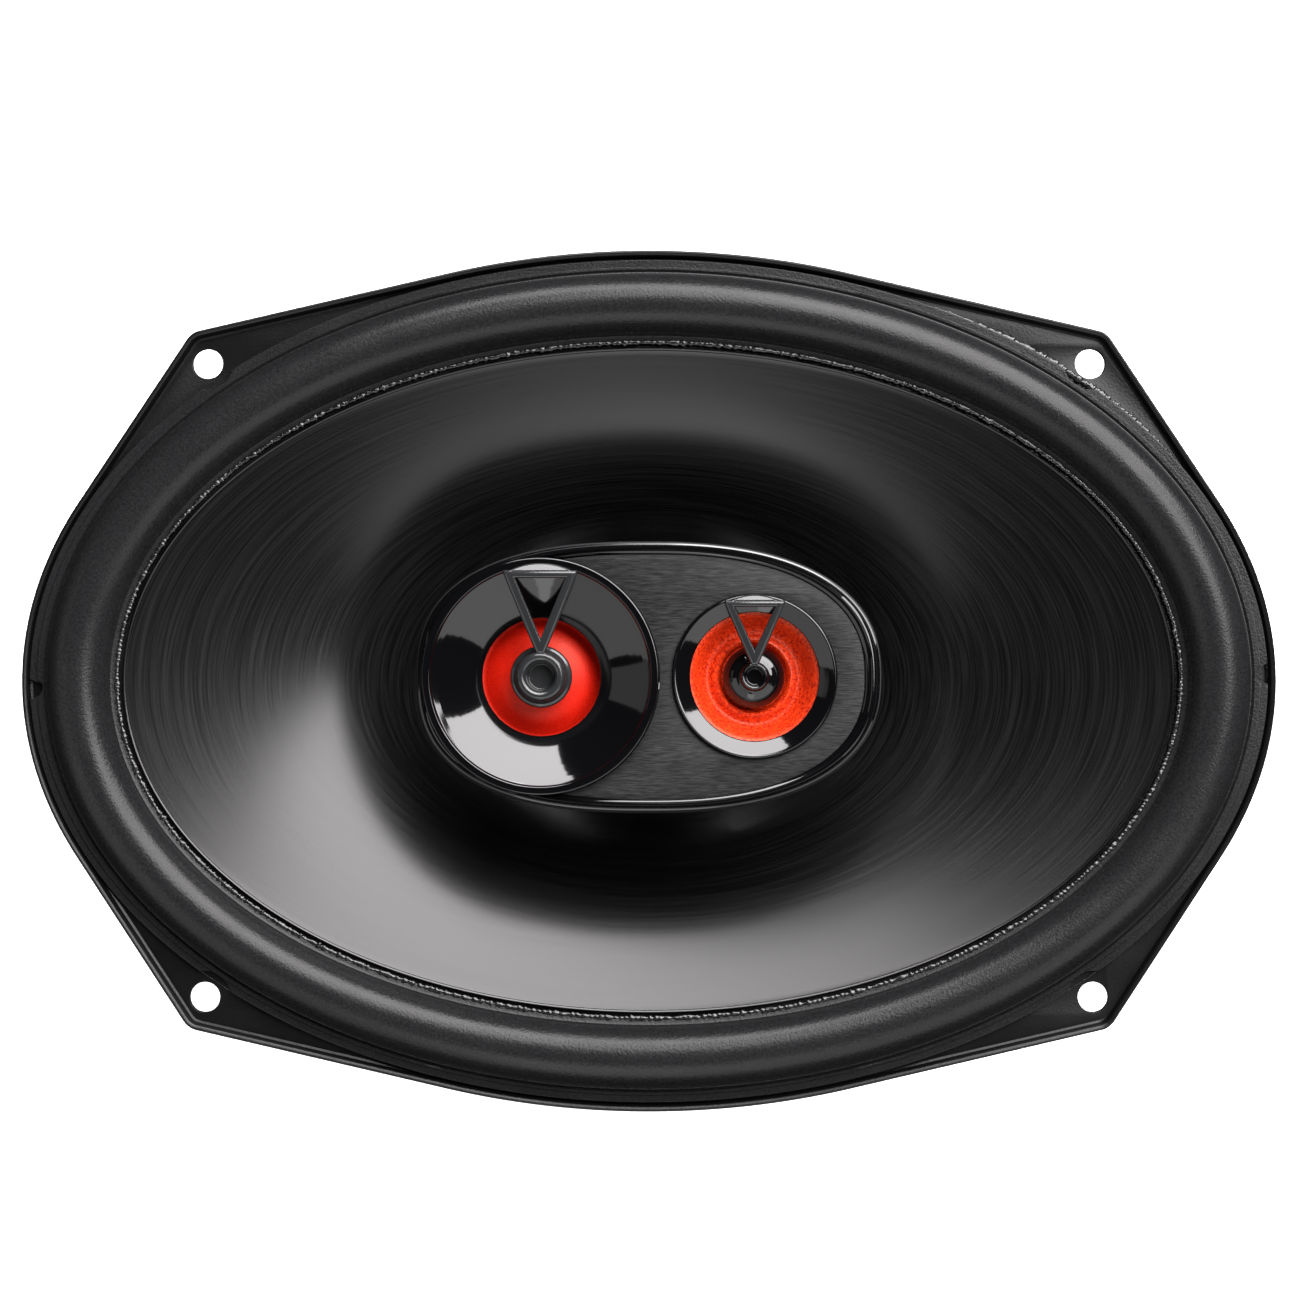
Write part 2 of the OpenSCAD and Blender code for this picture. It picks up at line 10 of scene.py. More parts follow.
import bmesh
import bpy
import numpy as np
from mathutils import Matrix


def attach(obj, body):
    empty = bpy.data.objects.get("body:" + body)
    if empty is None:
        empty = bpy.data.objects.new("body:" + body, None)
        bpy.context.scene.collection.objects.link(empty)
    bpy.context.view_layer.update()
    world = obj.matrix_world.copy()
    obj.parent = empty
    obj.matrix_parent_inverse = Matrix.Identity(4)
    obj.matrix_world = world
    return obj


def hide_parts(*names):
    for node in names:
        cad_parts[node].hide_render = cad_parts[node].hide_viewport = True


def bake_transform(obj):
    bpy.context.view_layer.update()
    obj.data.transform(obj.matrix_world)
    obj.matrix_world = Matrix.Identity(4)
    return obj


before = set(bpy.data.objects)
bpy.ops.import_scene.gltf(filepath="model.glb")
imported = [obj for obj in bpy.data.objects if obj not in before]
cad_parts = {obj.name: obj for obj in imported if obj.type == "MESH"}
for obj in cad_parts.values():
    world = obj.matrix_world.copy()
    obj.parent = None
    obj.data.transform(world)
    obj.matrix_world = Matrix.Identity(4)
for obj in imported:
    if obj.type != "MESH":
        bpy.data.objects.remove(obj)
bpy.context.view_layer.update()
MM = 0.001
FULL = 2 * math.pi

# %% [markdown]
# ## Helpers for meshes
# A speaker is made of turned, swept and stamped parts, so three helpers cover most of it:
# one that joins rings of points into a closed skin, one that turns a profile about an axis,
# and one that fills a flat outline, holes included, and gives it a thickness and soft edges.
# Profiles and outlines are in millimetres; only the finished points are in metres.

# %% Mesh helpers
WELD = 1e-6
CORNER_SHARE, LEAST_CORNER = 0.4, 0.02


def linked(name, data):
    """An object in the scene at the origin."""
    obj = bpy.data.objects.new(name, data)
    bpy.context.scene.collection.objects.link(obj)
    return obj


def metres(x, y, z):
    return x * MM, y * MM, z * MM


def shade(obj, angle):
    """Smooth shading that keeps every edge sharper than the angle crisp."""
    obj.data.shade_smooth()
    obj.data.set_sharp_from_angle(angle=math.radians(angle))


def fix_normals(obj):
    """Merges doubled points and turns every face outwards."""
    bm = bmesh.new()
    bm.from_mesh(obj.data)
    bmesh.ops.remove_doubles(bm, verts=bm.verts, dist=WELD)
    bmesh.ops.recalc_face_normals(bm, faces=bm.faces)
    bm.to_mesh(obj.data)
    bm.free()


def new_object(name, verts, faces, smooth_angle):
    """A welded mesh object, smooth across edges under the angle."""
    mesh = bpy.data.meshes.new(name)
    mesh.from_pydata(verts, [], faces)
    mesh.validate()
    obj = linked(name, mesh)
    fix_normals(obj)
    shade(obj, smooth_angle)
    return obj


def ring_skin(name, rings, smooth_angle, closed=True):
    """Joins rings of points, all as long as each other, into a skin. closed joins the last
    ring to the first, as round a loop of section points; otherwise the ends are capped."""
    count, size = len(rings), len(rings[0])
    verts = [p for ring in rings for p in ring]
    faces = []
    for i in range(count if closed else count - 1):
        k = (i + 1) % count
        for j in range(size):
            n = (j + 1) % size
            faces.append((i * size + j, i * size + n, k * size + n, k * size + j))
    if not closed:
        faces.append(tuple(range(size))[::-1])
        faces.append(tuple((count - 1) * size + j for j in range(size)))
    return new_object(name, verts, faces, smooth_angle)


def rounded_profile(points, radius, steps=4):
    """A closed profile with each corner rounded by up to the radius, as a list of (r, z)."""
    out = []
    total = len(points)
    for i, (x, y) in enumerate(points):
        (ax, ay), (bx, by) = points[i - 1], points[(i + 1) % total]
        la, lb = math.hypot(ax - x, ay - y), math.hypot(bx - x, by - y)
        cut = min(radius, CORNER_SHARE * la, CORNER_SHARE * lb)
        if x < WELD or cut < LEAST_CORNER:
            out.append((x, y))
            continue
        a = (x + (ax - x) * cut / la, y + (ay - y) * cut / la)
        b = (x + (bx - x) * cut / lb, y + (by - y) * cut / lb)
        for k in range(steps + 1):
            t = k / steps
            out.append(((1 - t) ** 2 * a[0] + 2 * t * (1 - t) * x + t * t * b[0],
                        (1 - t) ** 2 * a[1] + 2 * t * (1 - t) * y + t * t * b[1]))
    return out


def turned(name, profile, x=0.0, radius=0.3, sides=192, smooth_angle=32):
    """Turns a closed profile of (r, z) millimetres about a vertical axis at x."""
    points = rounded_profile(profile, radius) if radius else profile
    rings = [[metres(px, py, z) for px, py in circle(x, 0, r, sides)] for r, z in points]
    return ring_skin(name, rings, smooth_angle)


def evaluated_mesh(obj):
    """A new mesh with an object's modifiers or curve settings worked in."""
    bpy.context.view_layer.update()
    return bpy.data.meshes.new_from_object(
        obj.evaluated_get(bpy.context.evaluated_depsgraph_get()))


def bake(obj, smooth_angle):
    """Turns an object and its modifiers into a plain mesh."""
    mesh = evaluated_mesh(obj)
    obj.modifiers.clear()
    obj.data = mesh
    mesh.name = obj.name
    shade(obj, smooth_angle)


def plate(name, loops, z0, z1, edge):
    """A flat plate between two heights from outlines in millimetres: the first is the
    outer edge and the others are holes. Its edges are rounded."""
    curve = bpy.data.curves.new(name, "CURVE")
    curve.dimensions = "2D"
    curve.fill_mode = "BOTH"
    half = (z1 - z0) / 2
    curve.extrude = (half - edge) * MM
    curve.bevel_depth = edge * MM
    curve.bevel_resolution = 3
    curve.offset = -edge * MM
    for loop in loops:
        spline = curve.splines.new("POLY")
        spline.points.add(len(loop) - 1)
        for point, (x, y) in zip(spline.points, loop):
            point.co = (x * MM, y * MM, 0, 1)
        spline.use_cyclic_u = True
    source = linked(name + "_outline", curve)
    mesh = evaluated_mesh(source)
    bpy.data.objects.remove(source)
    for v in mesh.vertices:
        v.co.z += (z0 + half) * MM
    mesh.name = name
    obj = linked(name, mesh)
    fix_normals(obj)
    shade(obj, 32)
    return obj


def join(name, parts, smooth_angle):
    """Joins objects into one and shades it."""
    bm = bmesh.new()
    for part in parts:
        bm.from_mesh(part.data)
    mesh = bpy.data.meshes.new(name)
    bm.to_mesh(mesh)
    bm.free()
    for part in parts:
        bpy.data.objects.remove(part)
    obj = linked(name, mesh)
    shade(obj, smooth_angle)
    return obj


def circle(x, y, r, count):
    return [(x + r * math.cos(FULL * i / count), y + r * math.sin(FULL * i / count))
            for i in range(count)]


def swept(name, section, outline, steps, adjust=None, smooth_angle=32):
    """Sweeps a loop of section points (p, q, z) round an outline, which gives x and y from
    the angle, p and q. adjust may move a point in x and y."""
    rings = []
    for p, q, z in section:
        loop = [outline(FULL * i / steps, p, q) for i in range(steps)]
        if adjust:
            loop = [adjust(x, y) for x, y in loop]
        rings.append([metres(x, y, z) for x, y in loop])
    return ring_skin(name, rings, smooth_angle)


def oval_point(angle, a, b):
    return a * math.cos(angle), b * math.sin(angle)


def offset_from(a, b, pairs):
    """Section points of an oval sweep: both semi-axes moved out by d, at height z."""
    return [(a + d, b + d, z) for d, z in pairs]


def stands_for(obj, body, slot, *nodes):
    """Rides on a body and replaces CAD nodes, if any. The material slot's name is not used."""
    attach(obj, body)
    if nodes:
        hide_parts(*nodes)
    print(f"{obj.name}: {len(obj.data.polygons)} faces, node {', '.join(nodes) or 'none'}")

# %% [markdown]
# ## Helpers for finishes
# A finish is a small tree of nodes round one Principled shader. One function adds a node
# with its settings and links; colours are written as sRGB hex and turned to linear once.

# %% Finish helpers
def linear(hex_colour):
    """An sRGB hex colour as linear RGBA."""
    out = []
    for i in (0, 2, 4):
        c = int(hex_colour.lstrip("#")[i:i + 2], 16) / 255
        out.append(c / 12.92 if c <= 0.04045 else ((c + 0.055) / 1.055) ** 2.4)
    return (*out, 1.0)


def add(tree, kind, settings=None, links=None, **values):
    """Adds one node: settings are its properties, values its unlinked inputs by name with
    underscores for spaces, and links its linked inputs."""
    n = tree.nodes.new(kind)
    for key, value in (settings or {}).items():
        setattr(n, key, value)
    for key, value in values.items():
        n.inputs[key.replace("_", " ")].default_value = value
    for key, socket in (links or {}).items():
        tree.links.new(socket, n.inputs[key])
    return n


def finish_of(name, **values):
    """A material with one Principled shader; returns the material and the shader, whose
    id_data is the node tree that the helpers below add to."""
    material = bpy.data.materials.new(name)
    material.use_nodes = True
    shader = material.node_tree.nodes["Principled BSDF"]
    for key, value in values.items():
        shader.inputs[key.replace("_", " ")].default_value = value
    return material, shader


def per_mm(size_mm):
    """Noise cells per metre for a feature of this size."""
    return 1 / (size_mm * MM)


def object_noise(shader, size_mm, detail=3.0, stretch=(1, 1, 1)):
    """Noise on Object coordinates; stretch divides its scale by axis."""
    tree = shader.id_data
    where = add(tree, "ShaderNodeTexCoord")
    mapped = add(tree, "ShaderNodeMapping", links={"Vector": where.outputs["Object"]},
                 Scale=stretch)
    return add(tree, "ShaderNodeTexNoise", links={"Vector": mapped.outputs["Vector"]},
               Scale=per_mm(size_mm), Detail=detail, Roughness=0.55)


NOISE_LOW, NOISE_HIGH = 0.3, 0.7


def colour_by(shader, source, low, high, start=NOISE_LOW, end=NOISE_HIGH):
    """Drives the base colour between two hex colours from a node's first output."""
    tree = shader.id_data
    node = add(tree, "ShaderNodeValToRGB", links={"Fac": source.outputs[0]})
    first, last = node.color_ramp.elements
    first.position, last.position = start, end
    first.color, last.color = linear(low), linear(high)
    tree.links.new(node.outputs["Color"], shader.inputs["Base Color"])


def roughness_by(shader, source, low, high):
    """Drives the roughness over a range from a node's first output."""
    tree = shader.id_data
    node = add(tree, "ShaderNodeMapRange", links={"Value": source.outputs[0]},
               From_Min=NOISE_LOW, From_Max=NOISE_HIGH, To_Min=low, To_Max=high)
    tree.links.new(node.outputs["Result"], shader.inputs["Roughness"])


def bump_by(shader, source, distance_mm):
    """Drives the normal from a node's first output as a height in millimetres."""
    tree = shader.id_data
    node = add(tree, "ShaderNodeBump", links={"Height": source.outputs[0]},
               Distance=distance_mm * MM, Strength=1.0)
    tree.links.new(node.outputs["Normal"], shader.inputs["Normal"])


def maths(tree, operation, first, second):
    """A maths node on two sockets."""
    node = add(tree, "ShaderNodeMath", {"operation": operation})
    tree.links.new(first, node.inputs[0])
    tree.links.new(second, node.inputs[1])
    return node


def dress(material, *pieces):
    for piece in pieces:
        piece.data.materials.clear()
        piece.data.materials.append(material)

# %% [markdown]
# ## Sizes
# These are the CAD's own sizes in millimetres, so that the finer pieces sit exactly where
# their plain counterparts are.

# %% Sizes
HALF_LENGTH, HALF_WIDTH = 115.0, 79.0
EAR_CORNER, EAR_R = (81.75, 60.3), 4.0
HOLE_X, HOLE_Y, HOLE_R = 81.45, 58.3, 2.75
SHEET, LIP_HEIGHT = 1.0, 3.2
WALL_A, WALL_B, WALL_DEPTH = 108.0, 74.0, 8.0
LEDGE_R, LEDGE_Z = 50.0, -41.0
LAND_A, LAND_B, LAND_Z = 113.7, 77.4, 2.6
ROLL_A, ROLL_B, ROLL_W, SKIN_T, INNER_LAND = 110.3, 74.7, 11.3, 0.8, 2.3
RIM_A, RIM_B, RIM_LAP, RIM_Z, RIM_T = 96.3, 60.8, 2.6, 1.75, 0.6
NECK_R, NECK_Z, CONE_T = 13.1, -36.0, 0.7
POD_A, POD_B = 41.4, 24.2
FACE_Z = 20.4
LEFT_X, RIGHT_X = -19.1, 18.65
HORN_R = 20.9
RING_R = 14.5

# %% [markdown]
# ## The basket
# The basket is stamped from one steel sheet: a flange with four ears and a turned-up lip, an
# oval wall that goes round to a circle, six windows, a ledge for the spider and a round can.
# The flat flange is filled from its outlines; the lip is swept round it; the bowl is laid out
# as six patches, each wrapped round its window, and then given the sheet's thickness.

# %% Flange
OUTLINE_STEPS, MOUTH_STEPS = 720, 360
LIP_ROOT = 0.35


def flange_point(angle, inset):
    """Point of the flange's outline whose normal points at the angle, drawn in by inset."""
    c, s = math.cos(angle), math.sin(angle)
    e = math.hypot(HALF_LENGTH * c, HALF_WIDTH * s)
    k = EAR_CORNER[0] * abs(c) + EAR_CORNER[1] * abs(s) + EAR_R
    if e >= k:
        return (HALF_LENGTH ** 2 * c / e - inset * c, HALF_WIDTH ** 2 * s / e - inset * s)
    return (math.copysign(EAR_CORNER[0], c) + (EAR_R - inset) * c,
            math.copysign(EAR_CORNER[1], s) + (EAR_R - inset) * s)


flange_edge = [flange_point(FULL * i / OUTLINE_STEPS, LIP_ROOT) for i in range(OUTLINE_STEPS)]
mouth = [oval_point(FULL * i / MOUTH_STEPS, WALL_A - 0.8, WALL_B - 0.8)
         for i in range(MOUTH_STEPS)]
screws = [(x * HOLE_X, y * HOLE_Y) for x in (-1, 1) for y in (-1, 1)]
flange = plate("flange_plate",
               [flange_edge, mouth] + [circle(x, y, HOLE_R, 48) for x, y in screws],
               0.0, SHEET, 0.15)
lip_section = [(0.0, 0.35), (0.0, 2.75), (0.12, 3.05), (0.4, LIP_HEIGHT), (0.65, 3.15),
               (0.9, 2.95), (1.0, 2.6), (1.05, 1.6), (1.25, 1.15), (1.7, 0.98),
               (1.7, 0.02), (LIP_ROOT, 0.0), (0.1, 0.1)]
lip = swept("flange_lip", [(inset, 0, z) for inset, z in lip_section],
            lambda angle, inset, _: flange_point(angle, inset), OUTLINE_STEPS, smooth_angle=30)
basket_flange = join("basket_flange", [flange, lip], 30)
stands_for(basket_flange, "frame", "black_paint", "basket")

# %% Bowl of the basket
SECTORS = 6
WINDOW_HALF = math.radians(23)
WINDOW_LOW, WINDOW_SPAN, WINDOW_CORNER = 0.062, 0.80, 0.4
WINDOW_STEPS, BANDS, ON_EDGE = 96, 8, 0.001
HALF_SHEET = SHEET / 2
BOWL_R, BOWL_BULGE = LEDGE_R + 0.2, 1.1


def bowl_point(angle, depth):
    """Point on the middle of the bowl's sheet. depth runs from 0 at the ledge to 1 where the
    wall turns upright."""
    a = BOWL_R + (WALL_A - HALF_SHEET - BOWL_R) * depth
    b = BOWL_R + (WALL_B - HALF_SHEET - BOWL_R) * depth
    low = LEDGE_Z - HALF_SHEET
    z = low + (-WALL_DEPTH - low) * depth - BOWL_BULGE * math.sin(math.pi * depth)
    return (*oval_point(angle, a, b), z)


def patch_edge(t):
    """Point on the patch's edge in angle and depth, met by a ray at angle t."""
    c, s = math.cos(t), math.sin(t)
    k = 1 / max(abs(c), abs(s))
    return math.pi / SECTORS * c * k, (1 + s * k) / 2


def power(value, exponent):
    """A power that keeps the value's sign."""
    return math.copysign(abs(value) ** exponent, value)


def window_edge(t):
    """The window's edge in angle and depth: a rounded rectangle."""
    depth = (power(math.sin(t), WINDOW_CORNER) + 1) / 2
    return WINDOW_HALF * power(math.cos(t), WINDOW_CORNER), WINDOW_LOW + WINDOW_SPAN * depth


verts, faces, top_loop, low_loop = [], [], [], []
for sector in range(SECTORS):
    middle = math.radians(30 + 60 * sector)
    base = len(verts)
    for band in range(BANDS + 1):
        share = band / BANDS
        for i in range(WINDOW_STEPS):
            t = FULL * i / WINDOW_STEPS
            w0, v0 = window_edge(t)
            w1, v1 = patch_edge(t)
            w, v = w0 + (w1 - w0) * share, v0 + (v1 - v0) * share
            verts.append(bowl_point(middle + w, v))
            if band == BANDS and v > 1 - ON_EDGE:
                top_loop.append(middle + w)
            if band == BANDS and v < ON_EDGE:
                low_loop.append(middle + w)
    for band in range(BANDS):
        for i in range(WINDOW_STEPS):
            k = (i + 1) % WINDOW_STEPS
            a = base + band * WINDOW_STEPS
            b = a + WINDOW_STEPS
            faces.append((a + i, a + k, b + k, b + i))


def add_bands(angles, stations):
    """Carries a loop of angles on through stations of semi-axes and height."""
    angles = sorted({round(a % FULL, 6) for a in angles})
    start, size = len(verts), len(angles)
    for a, b, z in stations:
        verts.extend((*oval_point(w, a, b), z) for w in angles)
    for j in range(len(stations) - 1):
        for i in range(size):
            k = (i + 1) % size
            p = start + j * size
            faces.append((p + i, p + k, p + size + k, p + size + i))


add_bands(top_loop, [(WALL_A - HALF_SHEET, WALL_B - HALF_SHEET, z)
                     for z in (-WALL_DEPTH, -7, -5, -2, 0.0, 0.9)])
add_bands(low_loop, [(r, r, z) for r, z in (
    (BOWL_R, LEDGE_Z - HALF_SHEET), (49, -41.55), (46.5, -41.5), (45, -41.6), (44.3, -42),
    (44, -43), (44, -47), (44, -51), (43.6, -52), (42.6, -52.5), (38, -52.5), (30, -52.5),
    (22, -52.5), (16.2, -52.5))])
bowl = new_object("basket_bowl", [metres(*v) for v in verts], faces, 40)
skin = bowl.modifiers.new("sheet", "SOLIDIFY")
skin.thickness = SHEET * MM
skin.offset = 0
skin.use_even_offset = True
edge = bowl.modifiers.new("edge", "BEVEL")
edge.width = 0.25 * MM
edge.segments = 2
edge.limit_method = "ANGLE"
edge.angle_limit = math.radians(60)
bake(bowl, 35)
tab = plate("basket_tab", [[(-15, -59), (15, -59), (15, -49), (-15, -49)],
                           *(circle(x, -55, r, 64)
                             for x, r in ((0, 1.7), (12, 2.6), (-12, 2.6)))],
            LEDGE_Z - SHEET, LEDGE_Z, 0.15)
basket_bowl = join("basket_bowl", [bowl, tab], 35)
stands_for(basket_bowl, "frame", "black_paint", "basket")

# %% [markdown]
# ### Painted steel
# The basket is dipped or powder coated in black: a thin, slightly uneven coat that keeps a
# soft sheen. Fine orange peel goes into the bump and slow patches into the roughness.

# %% Paint
paint, shader = finish_of("black_powder_coat", Base_Color=linear("#0b0b0c"),
                          Specular_IOR_Level=0.22)
roughness_by(shader, object_noise(shader, 14), 0.26, 0.36)
bump_by(shader, object_noise(shader, 0.5, 2.0), 0.03)
dress(paint, basket_flange, basket_bowl)

# %% [markdown]
# ## The surround
# The surround is one moulded rubber ring: a flat land glued on the flange, a half roll that
# lets the cone move, and a narrow land glued to the cone. It is swept round the oval from
# its section. The land is cut away round the four screw holes and has a small notch at each
# end, so those edge points are simply drawn inwards. In use it flexes; a weight for each
# point, growing from the flange to the cone, is worked out but not applied.

# %% Surround
AROUND = 512
NOTCH_R, SCALLOP_R = 1.7, 5.0
BITES = [(x, y, SCALLOP_R) for x, y in screws]
BITES += [(-LAND_A + 0.9, -1.5, NOTCH_R), (LAND_A - 0.9, 0.8, NOTCH_R)]


def cut_back(x, y):
    """Moves a point that lies in a scallop or notch inwards to its edge."""
    for cx, cy, r in BITES:
        dx, dy = x - cx, y - cy
        if dx * dx + dy * dy < r * r:
            ux, uy = -cx / math.hypot(cx, cy), -cy / math.hypot(cx, cy)
            along = dx * ux + dy * uy
            aside = dx * dx + dy * dy - along * along
            push = math.sqrt(r * r - aside) - along
            return x + push * ux, y + push * uy
    return x, y


HALF_ROLL = ROLL_W / 2
MID_A, MID_B = ROLL_A - HALF_ROLL, ROLL_B - HALF_ROLL
INNER_A, INNER_B = MID_A - HALF_ROLL - INNER_LAND, MID_B - HALF_ROLL - INNER_LAND
LAND_TOP = LAND_Z + 0.1


def roll_arc(radius, base, start, end, steps):
    out = []
    for k in range(steps + 1):
        t = start + (end - start) * k / steps
        out.append((radius * math.cos(t), base + radius * 0.97 * math.sin(t)))
    return offset_from(MID_A, MID_B, out)


section = offset_from(LAND_A, LAND_B, [
    (-0.2, 1.0), (0, 1.2), (0, 2.13), (-0.07, 2.2), (-0.15, 2.21), (-0.35, 2.21),
    (-1.2, 2.21), (-1.36, 2.21), (-1.4, 2.25), (-1.42, 2.62),
    (-1.48, LAND_TOP), (-1.56, LAND_Z + 0.11), (-1.75, LAND_Z + 0.11)])
section += offset_from(ROLL_A, ROLL_B, [
    (1.0, LAND_TOP), (0.8, LAND_TOP), (0.7, LAND_Z), (0.35, 2.35), (0.05, 2.4)])
section += roll_arc(HALF_ROLL, LAND_Z, 0.06, math.pi - 0.12, 32)
section += offset_from(INNER_A, INNER_B, [
    (2.1, 2.75), (1.5, 2.5), (1.0, 2.45), (0.8, 2.3), (0.75, 1.82), (1.6, 1.8)])
section += roll_arc(HALF_ROLL - SKIN_T, LAND_Z - 0.6, math.pi - 0.1, 0.1, 18)
section += offset_from(ROLL_A, ROLL_B, [(-0.5, 1.3), (0.3, 1.0)])
surround = swept("surround_roll", section, oval_point, AROUND, cut_back, 40)

HALVINGS = 40


def points_of(obj):
    return np.array([v.co for v in obj.data.vertices], float).reshape(-1, 3)


def oval_share(points, oval_at):
    """How far each point lies through a family of shrinking ovals, from 0 to 1. oval_at
    gives an oval's semi-axes in millimetres from its share. Found by halving the range."""
    x, y = points[:, 0] / MM, points[:, 1] / MM
    low, high = np.zeros(len(x)), np.ones(len(x))
    for _ in range(HALVINGS):
        share = (low + high) / 2
        a, b = oval_at(share)
        inside = (x / a) ** 2 + (y / b) ** 2 < 1
        low, high = np.where(inside, share, low), np.where(inside, high, share)
    return (low + high) / 2


def flex(obj, node, weights=None):
    """Bakes a piece's placement into its mesh and hides the CAD node that it stands for."""
    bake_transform(obj)
    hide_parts(node)
    print(f"{obj.name}: {len(obj.data.polygons)} faces, flexes for node {node}")


flex(surround, "surround",
     oval_share(points_of(surround), lambda t: (ROLL_A - ROLL_W * t, ROLL_B - ROLL_W * t)))

# %% [markdown]
# ### Butyl rubber
# Moulded butyl rubber is near black with a satin face from the blasted mould. It scatters a
# broad soft highlight, so the roughness is middling, with a very fine pebble and faint
# smudges of mould release.

# %% Rubber
rubber, shader = finish_of("satin_butyl_rubber", IOR=1.48, Specular_IOR_Level=0.21)
roughness_by(shader, object_noise(shader, 9), 0.24, 0.31)
pebble = object_noise(shader, 0.45, 2.0)
colour_by(shader, pebble, "#121213", "#1e1e1f")
bump_by(shader, pebble, 0.05)
dress(rubber, surround)

# %% [markdown]
# ## The cone
# The cone is injection moulded polypropylene that runs from an oval rim, with a small raised
# bead round it, to a round neck. Its mould was turned, which leaves fine grain lines round
# the oval. Every point is given the oval's own angle and its distance in from the rim, and
# the finish reads those, so the grain follows the oval instead of cutting across it.

# %% Cone
GRAIN_UNIT, UV_UNIT = 10, 100


def cone_drop(s):
    """Share of the cone's depth reached at share s of the way in: flat first, then steep."""
    return (s + s ** 3.5) / 2


def cone_oval(s):
    return RIM_A + s * (NECK_R - RIM_A), RIM_B + s * (NECK_R - RIM_B)


def cone_station(s, below):
    return (*cone_oval(s), RIM_Z - (RIM_Z - NECK_Z) * cone_drop(s) - below)


CONE_STEPS, BACK_STEPS, FIRST_SHARE = 72, 24, 0.008
NECK_LOW = NECK_Z - 2.4
section = offset_from(RIM_A, RIM_B, [
    (RIM_LAP, RIM_Z - RIM_T), (RIM_LAP, RIM_Z - 0.35), (0.55, RIM_Z - 0.35), (0.42, RIM_Z),
    (0.3, RIM_Z + 0.3), (0.12, RIM_Z + 0.38), (-0.1, RIM_Z + 0.25), (-0.2, RIM_Z - 0.05)])
section += [cone_station(FIRST_SHARE + (1 - FIRST_SHARE) * k / CONE_STEPS, 0.0)
            for k in range(CONE_STEPS + 1)]
section += offset_from(NECK_R, NECK_R, [
    (0, NECK_Z - 1.2), (0, NECK_LOW), (CONE_T, NECK_LOW), (CONE_T, NECK_Z - CONE_T)])
section += [cone_station(1 - k / BACK_STEPS, CONE_T + 0.3) for k in range(1, BACK_STEPS)]
cone = swept("cone_skin", section, oval_point, AROUND, smooth_angle=35)


def give_oval_map(obj):
    """Writes the oval's angle and the distance in from the rim to each point, and a UV map
    whose U runs round the oval, for the direction of the grain."""
    points = points_of(obj)
    share = oval_share(points, cone_oval)
    a, b = cone_oval(share)
    angle = np.arctan2(points[:, 1] / MM / b, points[:, 0] / MM / a)
    inset = share * (RIM_A - NECK_R)
    values = np.stack([np.cos(angle), np.sin(angle), inset / GRAIN_UNIT], 1)
    layer = obj.data.attributes.new("oval_grain", "FLOAT_VECTOR", "POINT")
    layer.data.foreach_set("vector", values.astype(np.float32).ravel())
    uv = obj.data.uv_layers.new(name="oval")
    for poly in obj.data.polygons:
        first = angle[poly.vertices[0]] / FULL
        for loop, v in zip(poly.loop_indices, poly.vertices):
            turn = angle[v] / FULL
            turn -= round(turn - first)
            uv.data[loop].uv = (turn, inset[v] / UV_UNIT)


give_oval_map(cone)
stands_for(cone, "cone_assembly", "cone_plastic", "cone")

# %% Cone plastic
cone_plastic, shader = finish_of(
    "moulded_polypropylene", IOR=1.5, Anisotropic=0.2, Specular_IOR_Level=0.43)
tree = shader.id_data
ALONG, ACROSS_MM = 2.6, 0.26
grain = add(tree, "ShaderNodeAttribute", {"attribute_name": "oval_grain"})
mapped = add(tree, "ShaderNodeMapping", links={"Vector": grain.outputs["Vector"]},
             Scale=(ALONG, ALONG, GRAIN_UNIT / ACROSS_MM))
fine = add(tree, "ShaderNodeTexNoise", links={"Vector": mapped.outputs["Vector"]},
           Scale=1.0, Detail=2.0, Roughness=0.6)
roughness_by(shader, fine, 0.205, 0.255)
colour_by(shader, fine, "#040404", "#111011", 0.38)
bump_by(shader, fine, 0.0025)
tangent = add(tree, "ShaderNodeTangent", {"direction_type": "UV_MAP", "uv_map": "oval"})
tree.links.new(tangent.outputs["Tangent"], shader.inputs["Tangent"])
dress(cone_plastic, cone)

# %% [markdown]
# ### The glue lines
# A bead of adhesive lies on the surround's inner land where it meets the cone, and some has
# squeezed out from under the outer land at one corner. It dries glossy and uneven, and
# catches the light in short bright dashes. Each is a thin ring swept round the oval, with
# its height and width varied a little by seeded sines.

# %% Glue beads
GLUE_STEPS, GLUE_SIDES = 3072, 8
WAVES, WAVE_TURNS, WAVE_HEIGHTS = 24, (30, 700), (0.03, 0.11)
HIDDEN = 0.05


def wavy(name, a, b, z, size, seed, middle=0.0, spread=None):
    """A thin irregular bead round the oval at these semi-axes. With a spread in radians it
    fades to a hidden thread away from the angle named middle."""
    rng = np.random.default_rng(seed)
    waves = [(int(n), p, h) for n, p, h in zip(rng.integers(*WAVE_TURNS, WAVES),
                                               rng.uniform(0, FULL, WAVES),
                                               rng.uniform(*WAVE_HEIGHTS, WAVES))]
    rings = [[] for _ in range(GLUE_SIDES)]
    for i in range(GLUE_STEPS):
        t = FULL * i / GLUE_STEPS
        swell = 1 + sum(h * math.sin(n * t + p) for n, p, h in waves)
        if spread:
            off = (t - middle + math.pi) % FULL - math.pi
            swell *= max(HIDDEN, 1 - (off / spread) ** 2)
        shift = 0.12 * sum(h * math.sin((n // 2) * t + 2 * p) for n, p, h in waves)
        for j, ring in enumerate(rings):
            u = FULL * j / GLUE_SIDES
            da = size * swell * math.cos(u) + shift
            ring.append(metres(*oval_point(t, a + da, b + da),
                               z + 0.45 * size * swell * math.sin(u)))
    return ring_skin(name, rings, 60)


